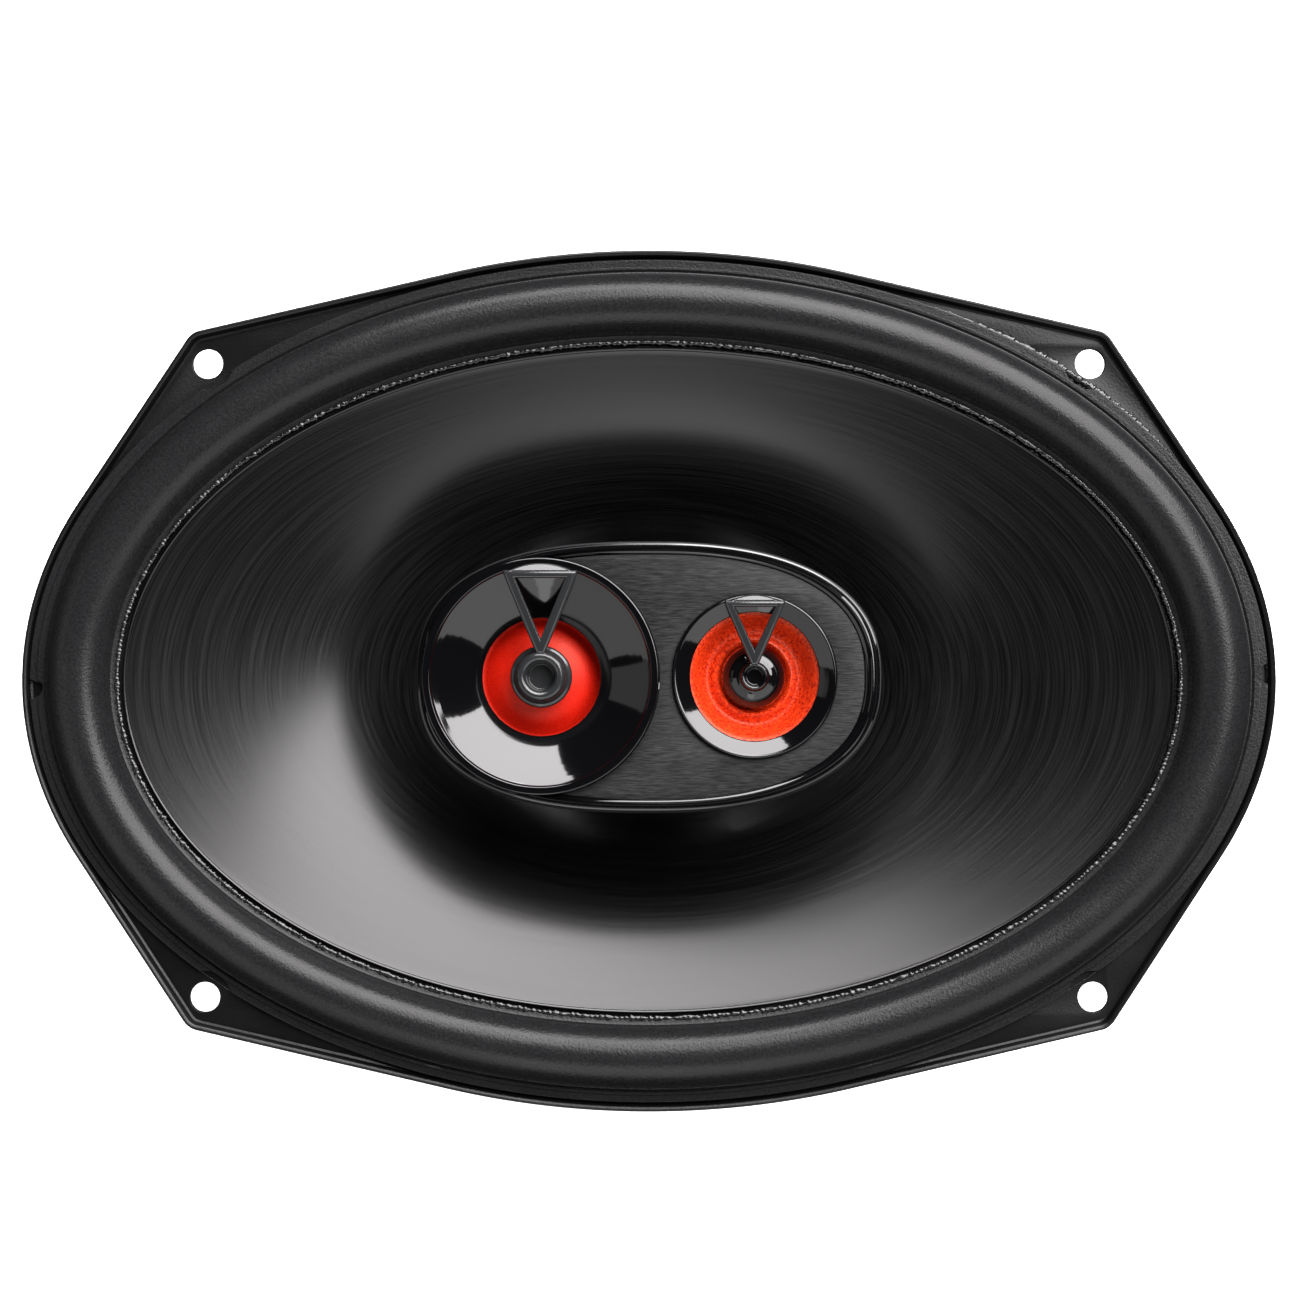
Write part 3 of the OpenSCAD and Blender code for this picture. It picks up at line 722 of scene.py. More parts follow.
glue, shader = finish_of("dried_adhesive", Base_Color=linear("#101011"), Roughness=0.12,
                         IOR=1.55)
bump_by(shader, object_noise(shader, 1.2, 4.0), 0.3)
bead = wavy("glue_bead", INNER_A + 1.0, INNER_B + 1.0, 2.42, 0.42, seed=11)
stands_for(bead, "cone_assembly", "cone_plastic")
squeeze = wavy("land_glue", LAND_A - 0.05, LAND_B - 0.05, 1.75, 0.62, seed=5,
               middle=0.82, spread=0.34)
stands_for(squeeze, "frame", "surround_rubber")
dress(glue, bead, squeeze)

# %% [markdown]
# ## The pod
# The pod is a moulded boat-shaped housing, a little blunter at the left end than at the
# right. Shell and bezel share one outline, a superellipse, drawn in step by step towards the
# floor. Where the big tweeter's rim meets the bezel the two overlap, so bezel points inside
# that circle are pushed out to it.

# %% Pod shell and bezel
LEFT_BLUNT, RIGHT_BLUNT = 2.58, 2.42


def pod_point(t, inset_x, inset_y):
    """Point of the pod's outline at parameter t, drawn in along each axis."""
    c, s = math.cos(t), math.sin(t)
    bend = 2 / (LEFT_BLUNT if c < 0 else RIGHT_BLUNT)
    return power(c, bend) * (POD_A - inset_x), power(s, bend) * (POD_B - inset_y)


def out_of_circle(x, y, cx, r):
    """Moves a point that lies inside a circle on the X axis straight out to it."""
    d = math.hypot(x - cx, y)
    return (x, y) if d >= r else (cx + (x - cx) * r / d, y * r / d)


shell = swept("pod_shell_skin", [
    (34.2, 17, 0.5), (12, 10.6, 0.5), (9, 8, 0.65), (6.2, 5.6, 1.4), (4.2, 3.8, 2.7),
    (2.4, 2.2, 4.9), (1.2, 1.1, 7.4), (0.5, 0.5, 10), (0.15, 0.15, 12.5), (0, 0, 14.5),
    (0, 0, 16.75), (0.15, 0.15, 16.95), (0.4, 0.4, 17), (1.4, 1.4, 17), (1.6, 1.6, 16.8),
    (1.6, 1.6, 14.5), (2.1, 2.1, 10), (3.6, 3.4, 6), (6.4, 6, 3.4), (10.6, 9.6, 2.1),
    (34.2, 17, 2.1)], pod_point, OUTLINE_STEPS)
collar = turned("pod_collar", [(6.0, 0.5), (8.55, 0.5), (8.55, 4.6), (6.0, 4.6)])
pod_shell = join("pod_shell_skin", [shell, collar], 32)
stands_for(pod_shell, "frame", "pod_plastic", "pod_shell")

pod_bezel = swept("pod_bezel_skin", [
    (0.6, 0.6, 17.05), (0.55, 0.55, 18.0), (0.5, 0.5, 19.1), (0.58, 0.55, 19.35),
    (0.85, 0.8, 19.45), (0.95, 0.88, 19.6), (0.95, 0.88, 20.1), (1.02, 0.95, 20.7),
    (1.2, 1.08, 21.25), (1.45, 1.25, 21.6), (1.75, 1.5, 21.78), (2.05, 1.7, 21.78),
    (2.3, 1.88, 21.62), (2.5, 2.0, 21.35), (2.6, 2.05, 21.1), (2.66, 2.08, 20.98),
    (2.78, 2.16, 20.93), (3.0, 2.34, 20.8), (3.25, 2.55, 20.62), (3.32, 2.62, 20.5),
    (3.32, 2.62, 17.05)], pod_point, OUTLINE_STEPS,
    lambda x, y: out_of_circle(x, y, LEFT_X, HORN_R + 0.06))
stands_for(pod_bezel, "frame", "gloss_black", "pod_bezel")

# %% [markdown]
# ### Face plate
# The face plate is a thin decorative sheet cut to the pod's outline, with a round hole for
# the small tweeter and a bite for the big one. Its outline follows the pod until it meets the
# big tweeter's circle, then follows that circle back.

# %% Face plate
FACE_T, FIT = 1.6, 0.08
BITE_R, BITE_STEPS = HORN_R + FIT, 160
around = [pod_point(math.pi * i / OUTLINE_STEPS, 3.28, 2.58)
          for i in range(-OUTLINE_STEPS, OUTLINE_STEPS)]
face_edge = [(x, y) for x, y in around if math.hypot(x - LEFT_X, y) > BITE_R]
start = math.atan2(face_edge[-1][1], face_edge[-1][0] - LEFT_X)
for k in range(1, BITE_STEPS):
    turn = start * (1 - 2 * k / BITE_STEPS)
    face_edge.append((LEFT_X + BITE_R * math.cos(turn), BITE_R * math.sin(turn)))
face_plate = plate("face_plate_sheet", [face_edge, circle(RIGHT_X, 0, RING_R + FIT, 128)],
                   FACE_Z - FACE_T, FACE_Z, 0.12)
stands_for(face_plate, "frame", "brushed_plate", "face_plate")

# %% [markdown]
# ## The tweeters
# Each tweeter shows a glossy moulded ring, a red diaphragm and a V-shaped bridge that holds a
# round phase plug over the middle. Rings, plugs and diaphragms are turned. The bridge is a
# flat V that is then tilted, so that it drops from the rim to the plug.

# %% Horn, ring and retainers
left_horn = turned("left_horn_shell", [
    (10.5, 16.4), (19.5, 16.4), (19.5, 14.0), (20.9, 14.0), (20.9, 22.6), (20.8, 22.9),
    (20.6, 23.0), (20.3, 22.95), (19.9, 22.9), (19.6, 22.95), (19.4, 22.8), (19.25, 22.5),
    (19.05, 22.4), (18.2, 21.94), (17.2, 21.33), (16.0, 20.57), (14.5, 19.57), (13.0, 18.56),
    (12.0, 17.9), (11.3, 17.45), (10.75, 17.1), (10.5, 16.9)],
    x=LEFT_X, radius=0.12, sides=360, smooth_angle=24)
stands_for(left_horn, "frame", "gloss_black", "left_horn")
left_retainer = turned("left_retainer_ring", [
    (11.0, 13.4), (12.8, 13.4), (12.8, 5.5), (16, 5.5), (16, 16.35), (11.0, 16.35)],
    x=LEFT_X, radius=0.25)
stands_for(left_retainer, "frame", "post_plastic", "left_retainer")
right_ring = turned("right_ring_shell", [
    (11.4, 20), (14.5, 20), (14.5, 21.3), (14.38, 21.58), (14.15, 21.7), (13.9, 21.62),
    (13.1, 21.18), (12.3, 20.72), (11.55, 20.28), (11.4, 20.15)],
    x=RIGHT_X, radius=0.1, sides=288, smooth_angle=24)
stands_for(right_ring, "frame", "gloss_black", "right_ring")
right_retainer = turned("right_retainer_ring", [
    (9.6, 5.5), (13.7, 5.5), (13.7, 18.4), (12.5, 18.4), (12.5, 12.2), (9.6, 12.2)],
    x=RIGHT_X, radius=0.25)
stands_for(right_retainer, "frame", "post_plastic", "right_retainer")


# %% Bridges
BAR, LENS_OVERLAP, LENS_FALL = 1.2, 0.25, 0.62


def bridge(name, x, outline, hole, lens, top, drop):
    """A V bridge with a lens over the rim. outline, hole and lens are in millimetres from
    the tweeter's axis; the V drops by drop from its bar to the axis."""
    high = max(y for _, y in outline)
    vee = plate(name + "_vee", [[(x + px, py) for px, py in outline],
                                [(x + px, py) for px, py in hole]], -1.3, 0.0, 0.55)
    for v in vee.data.vertices:
        share = min(1.0, max(0.0, (high - BAR - v.co.y / MM) / (high - BAR)))
        v.co.z += (top - drop * share) * MM
    cap = plate(name + "_lens", [[(x + px, py) for px, py in lens]], -1.0, 0.0, 0.3)
    peak = max(py for _, py in lens)
    for v in cap.data.vertices:
        share = max(0.0, (v.co.y / MM - high + LENS_OVERLAP) / (peak - high + LENS_OVERLAP))
        v.co.z += (top - 0.1 - LENS_FALL * share) * MM
    return join(name, [vee, cap], 32)


def lens_outline(half, low, high, steps=32):
    """A shallow circle segment with its chord at y = low."""
    r = (half * half + (high - low) ** 2) / (2 * (high - low))
    reach = math.asin(half / r)
    turns = [reach * (1 - 2 * k / steps) for k in range(steps + 1)]
    return [(r * math.sin(turn), high - r + r * math.cos(turn)) for turn in turns]


left_bridge = bridge(
    "left_bridge_vee", LEFT_X,
    [(-6.48, 18.55), (-6.48, 17.9), (-0.75, 3.9), (0.75, 3.9), (6.48, 17.9), (6.48, 18.55)],
    [(-4.4, 17.2), (4.4, 17.2), (0, 6.7)], lens_outline(5.9, 18.3, 19.85), 23.8, 2.6)
stands_for(left_bridge, "frame", "bridge_plastic", "left_bridge")
left_plug = turned("left_phase_plug", [
    (0, 16.7), (4.6, 16.7), (5.2, 17.0), (5.5, 17.6), (5.5, 18.3), (5.3, 18.8), (4.85, 19.05),
    (4.55, 19.4), (4.5, 20.4), (4.4, 21.1), (4.15, 21.55), (3.75, 21.85), (3.3, 21.9),
    (2.9, 21.7), (2.6, 21.2), (2.42, 20.4), (2.35, 19.3), (2.2, 19.05), (0, 19.0)],
    x=LEFT_X, radius=0.12, sides=144, smooth_angle=34)
stands_for(left_plug, "frame", "bridge_plastic")
right_bridge = bridge(
    "right_bridge_vee", RIGHT_X,
    [(-5.3, 13.35), (-5.3, 12.7), (-0.6, 1.9), (0.6, 1.9), (5.3, 12.7), (5.3, 13.35)],
    [(-3.55, 12.2), (3.55, 12.2), (0, 4.7)], lens_outline(4.5, 13.15, 14.4), 22.5, 1.8)
stands_for(right_bridge, "frame", "bridge_plastic", "right_bridge")
right_plug = turned("right_phase_plug", [
    (0, 15.6), (4.8, 15.6), (5.3, 15.8), (5.5, 16.2), (5.5, 16.55), (5.35, 16.95),
    (5.0, 17.5), (4.5, 18.05), (3.9, 18.5), (3.2, 18.85), (2.7, 19.0), (2.48, 19.2),
    (2.45, 20.3), (2.35, 20.62), (2.1, 20.8), (1.85, 20.72), (1.65, 20.4), (1.55, 19.6),
    (1.4, 19.45), (0, 19.4)], x=RIGHT_X, radius=0.08, sides=144, smooth_angle=34)
stands_for(right_plug, "frame", "bridge_plastic")

# %% Diaphragms
dome = [(0.0, 15.6), (2.0, 15.49), (4.0, 15.15), (6.0, 14.58), (7.6, 13.97), (8.8, 13.4),
        (9.6, 12.96), (10.1, 12.72), (10.35, 12.62), (10.7, 12.72), (11.2, 12.85),
        (11.7, 12.75), (12.0, 12.6), (12.2, 12.5)]
left_diaphragm = turned("left_dome_film", [(r, z - 0.25) for r, z in dome]
                        + dome[::-1], x=LEFT_X, radius=0.0, smooth_angle=40)
stands_for(left_diaphragm, "left_dome", "red_film_dome", "left_diaphragm")
cone_top = [(0.0, 14.8), (3.0, 14.6), (5.0, 14.0), (5.7, 13.8), (5.9, 14.2), (6.1, 14.9),
            (6.35, 15.35), (6.7, 15.55), (7.1, 15.45), (7.5, 15.12), (7.9, 14.85),
            (8.3, 14.8), (8.7, 15.05), (9.2, 15.75), (9.8, 16.9), (10.3, 18.0),
            (10.7, 18.75), (11.1, 19.12), (11.5, 19.28), (12.0, 19.3)]
cone_back = [(0.0, 14.5), (3.0, 14.3), (5.6, 13.5), (6.0, 13.6), (6.4, 14.6), (6.8, 15.15),
             (7.3, 14.9), (8.0, 14.45), (8.6, 14.5), (9.3, 15.4), (10.3, 17.5),
             (10.9, 18.6), (12.0, 19.0)]
right_diaphragm = turned("right_cone_film", cone_back + cone_top[::-1],
                         x=RIGHT_X, radius=0.0, smooth_angle=40)
stands_for(right_diaphragm, "right_dome", "red_cone", "right_diaphragm")

# %% [markdown]
# ### Finishes of the pod
# Bezel, horn and ring are gloss black ABS straight from a polished mould: nearly black with a
# sharp mirror of the room on it. The shell is the same plastic from a satin mould, and the
# bridges' finish lies between the two. The face plate is brushed: long fine scratches along
# X over dark grey. The left diaphragm is smooth coated film and the right one is pressed
# paper with a visible grain.

# %% Plastics
def lightly_rough(name, colour, size_mm, distance_mm, detail=2.0, **values):
    """One flat colour with a fine bump."""
    material, shader = finish_of(name, Base_Color=linear(colour), **values)
    bump_by(shader, object_noise(shader, size_mm, detail), distance_mm)
    return material


gloss = lightly_rough("gloss_black_abs", "#050506", 9, 0.01, 1.0, Roughness=0.07, IOR=1.52)
satin = lightly_rough("satin_black_abs", "#111112", 0.3, 0.015, Roughness=0.4,
                      Specular_IOR_Level=0.25)
bridge_abs = lightly_rough("bridge_abs", "#1f2021", 0.6, 0.008, Roughness=0.2, IOR=1.52)
dress(gloss, pod_bezel, left_horn, right_ring, right_plug)
dress(satin, pod_shell, left_retainer, right_retainer)
dress(bridge_abs, left_bridge, right_bridge, left_plug)

# %% Foil and film
brushed, shader = finish_of("brushed_dark_foil", Roughness=0.42, IOR=1.45,
                            Specular_IOR_Level=0.3)
tree = shader.id_data
scratch = object_noise(shader, 0.2, 2.0, stretch=(0.1, 1, 1))
coarse = object_noise(shader, 0.32, 2.0, stretch=(0.12, 1, 1))
both = maths(tree, "ADD", scratch.outputs["Fac"], coarse.outputs["Fac"])
half = add(tree, "ShaderNodeMath", {"operation": "MULTIPLY"})
tree.links.new(both.outputs["Value"], half.inputs[0])
half.inputs[1].default_value = 0.5
colour_by(shader, half, "#080808", "#2a2a2b", 0.38, 0.66)
bump_by(shader, half, 0.05)
dress(brushed, face_plate)

WARM_SHEEN = linear("#ffc8b0")
coated, shader = finish_of("red_coated_film", Roughness=0.42, IOR=1.5,
                           Specular_IOR_Level=0.3, Specular_Tint=WARM_SHEEN)
mottle = object_noise(shader, 0.28)
colour_by(shader, mottle, "#a80a03", "#c81c0a")
bump_by(shader, mottle, 0.01)
dress(coated, left_diaphragm)

paper, shader = finish_of("orange_red_paper", Roughness=0.42, IOR=1.5,
                          Specular_Tint=WARM_SHEEN)
mottle = object_noise(shader, 0.45)
colour_by(shader, mottle, "#8c0e03", "#d4380f", 0.36, 0.62)
bump_by(shader, mottle, 0.07)
dress(paper, right_diaphragm)

# %% [markdown]
# ## Behind the cone
# The spider is a disc of woven cloth, corrugated so that it flexes, and dipped in resin. It
# is turned with six soft waves; a weight for each point, by its distance from the neck, is
# worked out but not applied. The two leads are braided tinsel: six fine strands laid round
# one path.

# %% Spider
SPIDER_OUT, SPIDER_IN, SPIDER_FLAT_R, SPIDER_T = 48.9, 13.1, 43.1, 0.5
SPIDER_Z = LEDGE_Z + SPIDER_T / 2
CUFF, WAVE_HEIGHT, WAVE_COUNT, WAVE_STEPS = 2, 1.4, 6, 144
wave_top = [(SPIDER_IN, SPIDER_Z + 1.2), (SPIDER_IN + 0.8, SPIDER_Z + 0.9)]
wave_low = [(SPIDER_IN, SPIDER_Z - 0.9), (SPIDER_IN + 0.8, SPIDER_Z - 0.7)]
for k in range(WAVE_STEPS + 1):
    r = SPIDER_IN + CUFF + (SPIDER_FLAT_R - SPIDER_IN - CUFF) * k / WAVE_STEPS
    z = SPIDER_Z + WAVE_HEIGHT * math.sin(FULL * WAVE_COUNT * k / WAVE_STEPS)
    wave_top.append((r, z + SPIDER_T / 2))
    wave_low.append((r, z - SPIDER_T / 2))
for line, side in ((wave_top, 1), (wave_low, -1)):
    line.append((SPIDER_OUT, SPIDER_Z + side * SPIDER_T / 2))
spider = turned("spider_cloth", wave_low + wave_top[::-1], radius=0.0, sides=240,
                smooth_angle=50)
radius = np.hypot(*points_of(spider)[:, :2].T) / MM
flex(spider, "spider",
     np.clip((SPIDER_FLAT_R - radius) / (SPIDER_FLAT_R - SPIDER_IN - CUFF), 0, 1))

cloth, shader = finish_of("resin_dipped_cotton", Roughness=0.75)
tree = shader.id_data
where = add(tree, "ShaderNodeTexCoord")
# The texture's wave turns 20 radians in a cell, so a thread comes every 3.5 mm: drawn
# coarser than the real cloth's, so that the weave shows.
THREAD_MM, RADIANS_PER_CELL = 0.55, 20
threads = [add(tree, "ShaderNodeTexWave", {"bands_direction": axis},
               {"Vector": where.outputs["Object"]}, Scale=per_mm(THREAD_MM) / RADIANS_PER_CELL,
               Distortion=0.6, Detail=1.0) for axis in ("X", "Y")]
weave = maths(tree, "MAXIMUM", *(thread.outputs["Fac"] for thread in threads))
colour_by(shader, weave, "#6d4415", "#b57c34", 0.2, 0.9)
bump_by(shader, weave, 0.12)
dress(cloth, spider)


# %% Wires
def frame_along(path):
    """Unit tangents and two side directions along a path, each side turned least."""
    path = np.array(path, float)
    tangents = np.gradient(path, axis=0)
    tangents /= np.linalg.norm(tangents, axis=1)[:, None]
    side = np.cross(tangents[0], (1.0, 0.2, 0.1))
    sides = []
    for t in tangents:
        side = side - t * side.dot(t)
        side /= np.linalg.norm(side)
        sides.append(side.copy())
    sides = np.array(sides)
    return path, sides, np.cross(tangents, sides)


def tube(name, path, r, sides):
    """A round wire of radius r along a path in millimetres, with domed ends."""
    path, u, v = frame_along(path)
    rings = []
    for i, (p, a, b) in enumerate(zip(path, u, v)):
        size = r * (0.6 if i in (0, len(path) - 1) else 1)
        rings.append([tuple((p + size * (math.cos(FULL * j / sides) * a
                                         + math.sin(FULL * j / sides) * b)) * MM)
                      for j in range(sides)])
    return ring_skin(name, rings, 60, closed=False)


def lead_path(x, steps=120):
    a, b = (x, -50.2, -35.1), (x, -49.5, -26.4)
    c, d = (0.8 * x, -37, -24), (0.75 * x, -33.5, -13.2)
    out = []
    for k in range(steps + 1):
        t = k / steps
        s = 1 - t
        out.append([s ** 3 * a[i] + 3 * s * s * t * b[i] + 3 * s * t * t * c[i] + t ** 3 * d[i]
                    for i in range(3)])
    return out


def braid(name, x, strands=6, r=0.24, offset=0.36, turns=14):
    path, u, v = frame_along(lead_path(x))
    parts = []
    for k in range(strands):
        hand = 1 if k % 2 else -1
        line = []
        for i, (p, a, b) in enumerate(zip(path, u, v)):
            w = FULL * (k / strands + hand * turns * i / len(path) / 2)
            line.append(p + offset * (math.cos(w) * a + math.sin(w) * b))
        parts.append(tube(f"{name}_{k}", line, r, 6))
    return join(name, parts, 60)


tinsel, shader = finish_of("braided_tinsel_copper", Metallic=1.0, Roughness=0.38)
colour_by(shader, object_noise(shader, 1.5), "#8a5f30", "#c79a63")
for node, x in (("lead_positive", 12.0), ("lead_negative", -12.0)):
    lead = braid(node + "_braid", x)
    dress(tinsel, lead)
    flex(lead, node)


def feed_path(side):
    """The feed's corners, each rounded: down the post, out of the groove, up to the board."""
    corner, steps = 1.8, 12
    x = 1.1 * side
    corners = [(x, 0, 11), (x, 0, -79), (x, -46.6, -79), (x, -46.6, -49),
               (12 * side, -55, -42.6)]
    out = [corners[0]]
    for before, here, after in zip(corners, corners[1:], corners[2:]):
        before, here, after = (np.array(p, float) for p in (before, here, after))
        a = here + corner * (before - here) / np.linalg.norm(before - here)
        b = here + corner * (after - here) / np.linalg.norm(after - here)
        for k in range(steps + 1):
            t = k / steps
            out.append(tuple((1 - t) ** 2 * a + 2 * t * (1 - t) * here + t * t * b))
    return out + [corners[-1]]


for node, side, colour in (("feed_positive", 1, "#8e1a12"), ("feed_negative", -1, "#131315")):
    feed = tube(node + "_wire", feed_path(side), 0.6, 16)
    dress(lightly_rough(node + "_insulation", colour, 2.5, 0.05, Roughness=0.38), feed)
    stands_for(feed, "frame", "red_insulation" if side > 0 else "black_insulation", node)

# %% [markdown]
# ## The motor
# The motor is a ferrite ring between two zinc-plated steel plates. Ferrite is a dark ceramic,
# ground flat on its faces and left rough on its rim. The plates are turned and plated, which
# leaves a bright grey with faint turning lines and cloudy patches.

# %% Motor
magnet = turned("magnet_ring", [(19, -74), (45, -74), (45, -59), (19, -59)], radius=0.9,
                sides=240)
stands_for(magnet, "frame", "ferrite", "magnet")
top_plate = turned("top_plate_ring", [(13.95, -59), (42.5, -59), (42.5, -53), (13.95, -53)],
                   radius=0.6, sides=240)
stands_for(top_plate, "frame", "zinc_plate", "top_plate")
ferrite, shader = finish_of("ferrite_ceramic", Roughness=0.6)
grit = object_noise(shader, 0.5, 4.0)
colour_by(shader, grit, "#232427", "#3a3b3e")
bump_by(shader, grit, 0.06)
dress(ferrite, magnet)

# %% Turned zinc
# The turning lines are noise on the distance from the axis.
zinc, shader = finish_of("zinc_plated_steel", Metallic=1.0)
tree = shader.id_data
where = add(tree, "ShaderNodeTexCoord")
split = add(tree, "ShaderNodeSeparateXYZ", links={"Vector": where.outputs["Object"]})
flat = add(tree, "ShaderNodeCombineXYZ", links={"X": split.outputs["X"],
                                                "Y": split.outputs["Y"]})
length = add(tree, "ShaderNodeVectorMath", {"operation": "LENGTH"},
             {"Vector": flat.outputs["Vector"]})
rings = add(tree, "ShaderNodeTexNoise", {"noise_dimensions": "1D"},
            {"W": length.outputs["Value"]}, Scale=per_mm(0.5), Detail=2.0)
cloud = object_noise(shader, 12)
colour_by(shader, cloud, "#8f9296", "#b3b6ba")
roughness_by(shader, cloud, 0.3, 0.44)
bump_by(shader, rings, 0.02)
dress(zinc, top_plate)

# %% [markdown]
# ### Rivets
# Four steel rivets hold the basket to the top plate. The same head sits at four places on a
# circle, so it is drawn once and repeated by a small node tree.

# %% Rivets
RIVET_COUNT, RIVET_CIRCLE = 4, 30
RIVET_INPUTS = [("Head", "NodeSocketObject"), ("Count", "NodeSocketInt"),
                ("Radius", "NodeSocketFloat"), ("Finish", "NodeSocketMaterial")]


def rivet_tree():
    """Repeats a head at even steps round a circle; returns the tree and its inputs."""
    tree = bpy.data.node_groups.new("rivets_on_a_circle", "GeometryNodeTree")
    sockets = {label: tree.interface.new_socket(label, in_out="INPUT", socket_type=kind)
               for label, kind in RIVET_INPUTS}
    tree.interface.new_socket("Geometry", in_out="OUTPUT", socket_type="NodeSocketGeometry")
    given = add(tree, "NodeGroupInput")
    ring = add(tree, "GeometryNodeMeshCircle", {"fill_type": "NONE"},
               {"Vertices": given.outputs["Count"], "Radius": given.outputs["Radius"]})
    turn = add(tree, "GeometryNodeTransform", links={"Geometry": ring.outputs["Mesh"]},
               Rotation=(0, 0, math.radians(45)))
    head = add(tree, "GeometryNodeObjectInfo", links={"Object": given.outputs["Head"]})
    place = add(tree, "GeometryNodeInstanceOnPoints",
                links={"Points": turn.outputs["Geometry"], "Instance": head.outputs["Geometry"]})
    real = add(tree, "GeometryNodeRealizeInstances",
               links={"Geometry": place.outputs["Instances"]})
    coat = add(tree, "GeometryNodeSetMaterial", links={"Geometry": real.outputs["Geometry"],
                                                       "Material": given.outputs["Finish"]})
    add(tree, "NodeGroupOutput", links={"Geometry": coat.outputs["Geometry"]})
    return tree, sockets


steel, shader = finish_of("bright_zinc_rivet", Base_Color=linear("#a6a9ad"),
                          Metallic=1.0, Roughness=0.3)
bump_by(shader, object_noise(shader, 0.8), 0.03)
rivet_head = turned("rivet_head", [
    (0, -58), (2.5, -58), (2.5, -52), (4.0, -52), (4.0, -51.5), (3.5, -51.1), (2.3, -50.85),
    (1.2, -50.8), (1.0, -51.1), (0, -51.1)], radius=0.15, sides=48)
rivets = linked("plate_rivet_heads", bpy.data.meshes.new("plate_rivet_heads"))
repeat = rivets.modifiers.new("rivets", "NODES")
repeat.node_group, sockets = rivet_tree()
for label, value in (("Head", rivet_head), ("Count", RIVET_COUNT),
                     ("Radius", RIVET_CIRCLE * MM), ("Finish", steel)):
    repeat[sockets[label].identifier] = value
bake(rivets, 30)
bpy.data.objects.remove(rivet_head)
stands_for(rivets, "frame", "zinc_steel", "plate_rivets")

# %% [markdown]
# ## Pieces that stay as drawn
# The back plate, post, nut, terminals and the hidden parts of the tweeters are right as the
# CAD has them. They only take on a finish, through their own material slots.

# %% Finishes of the carried-over pieces
def metal(name, colour, roughness):
    material, shader = finish_of(name, Base_Color=linear(colour), Metallic=1.0)
    roughness_by(shader, object_noise(shader, 4), roughness - 0.06, roughness + 0.08)
    return material


def plastic(name, low, high, size_mm, roughness):
    material, shader = finish_of(name, Roughness=roughness)
    speck = object_noise(shader, size_mm)
    colour_by(shader, speck, low, high)
    bump_by(shader, speck, 0.02)
    return material


brass = metal("brass_tab", "#c9a14a", 0.28)
tin = metal("tinned_steel", "#c9c7c0", 0.3)
nickel = metal("nickel_plate", "#b9bbbe", 0.25)
copper = metal("enamelled_copper", "#a4572c", 0.35)
fibre = plastic("phenolic_board", "#6a3d1b", "#85532a", 1.2, 0.55)
kapton = plastic("kapton_film", "#a9772f", "#bd8b40", 3.0, 0.3)
finishes = {
    "yoke": zinc, "post": satin, "post_nut": tin, "former": kapton, "winding": copper,
    "terminal_board": fibre, "terminal_positive": brass, "terminal_negative": tin,
    "terminal_rivets": tin, "board_rivet": steel, "left_coil": copper,
    "right_coil": copper, "left_pole_plate": nickel, "right_pole_plate": nickel,
    "left_magnet": nickel, "right_magnet": nickel, "left_cup": nickel, "right_cup": nickel,
    "capacitor_left": plastic("red_film_capacitor", "#8a1c14", "#9c241a", 2.0, 0.3),
    "capacitor_right": plastic("blue_film_capacitor", "#1c4a76", "#245a8a", 2.0, 0.3)}
for node, material in finishes.items():
    for material_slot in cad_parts[node].material_slots:
        material_slot.material = material
print("finishes on carried-over pieces:", len(finishes))

# %% [markdown]
# ## Floor, light and camera
# The speaker lies on its back on a white sweep. Two big softboxes stand one above the other
# at the upper right: the low one is mirrored in the glossy horn, the high one on the cone's
# near side. Three dim ones fill from the left and from below. The camera sees a white room,
# but to every other ray the room is nearly dark and the floor isn't there, which is what
# makes gloss black look black.

# %% Stage
FLOOR_Z, FLOOR_HALF = -80.05, 8
WHITE = (1, 1, 1, 1)
floor_mesh = bpy.data.meshes.new("floor")
floor_mesh.from_pydata([(x * FLOOR_HALF, y * FLOOR_HALF, FLOOR_Z * MM)
                        for x, y in ((-1, -1), (1, -1), (1, 1), (-1, 1))],
                       [], [(0, 1, 2, 3)])
floor = linked("floor", floor_mesh)
sweep, shader = finish_of("white_paper_sweep", Base_Color=(0.9, 0.9, 0.9, 1), Roughness=0.9,
                          Emission_Color=WHITE, Emission_Strength=1.0)
bump_by(shader, object_noise(shader, 1.5), 0.02)
dress(sweep, floor)
floor.visible_glossy = False
floor.visible_diffuse = False


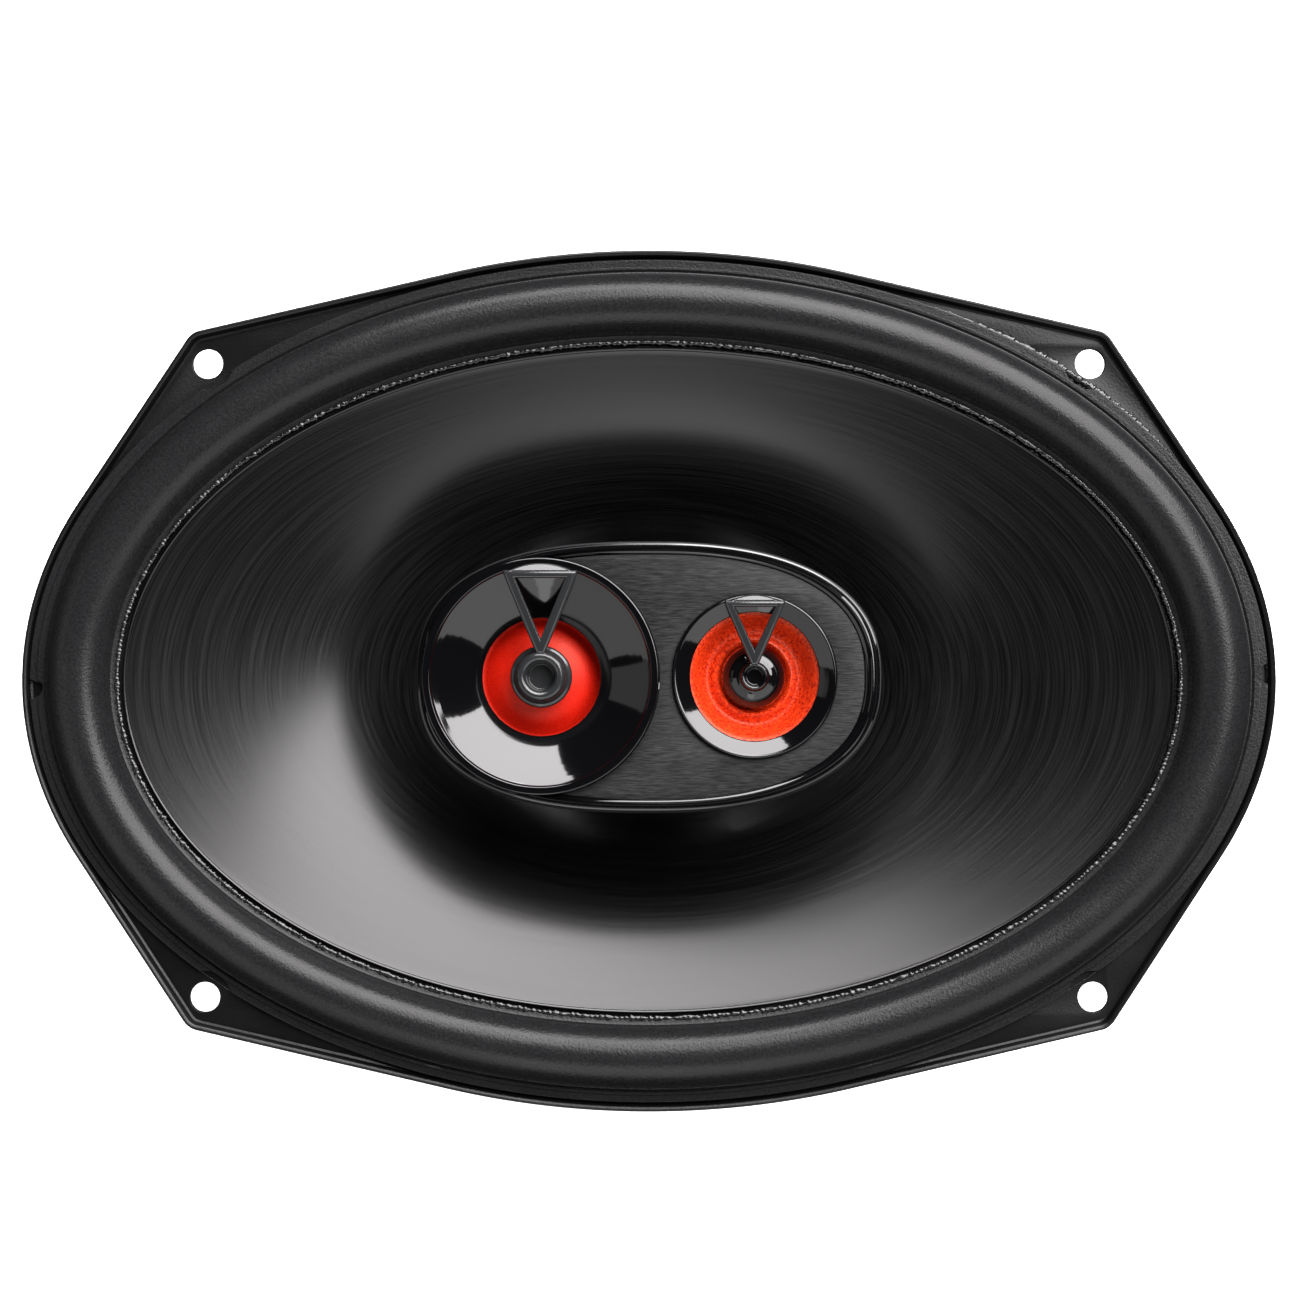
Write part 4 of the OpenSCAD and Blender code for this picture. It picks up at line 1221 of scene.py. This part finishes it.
def softbox(name, azimuth, elevation, wide, tall, radiance, tint=(1, 1, 1)):
    """A rectangular light at a bearing from the speaker, sized in degrees as seen from it."""
    distance = 1.1
    light = bpy.data.lights.new(name, "AREA")
    light.shape = "RECTANGLE"
    light.size = 2 * distance * math.tan(math.radians(wide / 2))
    light.size_y = 2 * distance * math.tan(math.radians(tall / 2))
    light.energy = radiance * math.pi * light.size * light.size_y
    light.color = tint
    obj = linked(name, light)
    a, e = math.radians(azimuth), math.radians(elevation)
    obj.location = (distance * math.cos(e) * math.cos(a),
                    distance * math.cos(e) * math.sin(a), distance * math.sin(e))
    obj.rotation_euler = (math.pi / 2 - e, 0, a + math.pi / 2)


ROSY = (1.0, 0.975, 0.98)
softbox("main_softbox", 69, 32, 68, 24, 13.5, ROSY)
softbox("main_softbox_top", 52, 56, 52, 27, 12.5, ROSY)
softbox("fill_lower_right", 296, 38, 64, 44, 1.9)
softbox("fill_lower_left", 229, 38, 68, 44, 1.3)
softbox("fill_left", 173, 25, 22, 22, 0.6)

world = bpy.data.worlds.new("dim_room")
bpy.context.scene.world = world
world.use_nodes = True
room = world.node_tree
seen = room.nodes["Background"]
seen.inputs["Color"].default_value = WHITE
seen.inputs["Strength"].default_value = 1.0
dim = add(room, "ShaderNodeBackground", Color=WHITE, Strength=0.02)
ray = add(room, "ShaderNodeLightPath")
either = add(room, "ShaderNodeMixShader", links={"Fac": ray.outputs["Is Camera Ray"]})
room.links.new(dim.outputs["Background"], either.inputs[1])
room.links.new(seen.outputs["Background"], either.inputs[2])
room.links.new(either.outputs["Shader"], room.nodes["World Output"].inputs["Surface"])

# %% Camera
DISTANCE, TILT, SENSOR, SPAN = 470.0, math.radians(1.5), 36.0, 239.8
camera_data = bpy.data.cameras.new("front")
camera_data.sensor_width = SENSOR
camera_data.lens = SENSOR * DISTANCE / SPAN
camera_data.shift_x, camera_data.shift_y = 0.0008, 0.0227
camera_data.clip_start, camera_data.clip_end = 0.01, 20
camera = linked("front", camera_data)
camera.location = metres(0, -DISTANCE * math.sin(TILT), DISTANCE * math.cos(TILT))
camera.rotation_euler = (TILT, 0, 0)
bpy.context.scene.camera = camera
bpy.context.scene.view_settings.view_transform = "Standard"
bpy.context.scene.view_settings.look = "None"
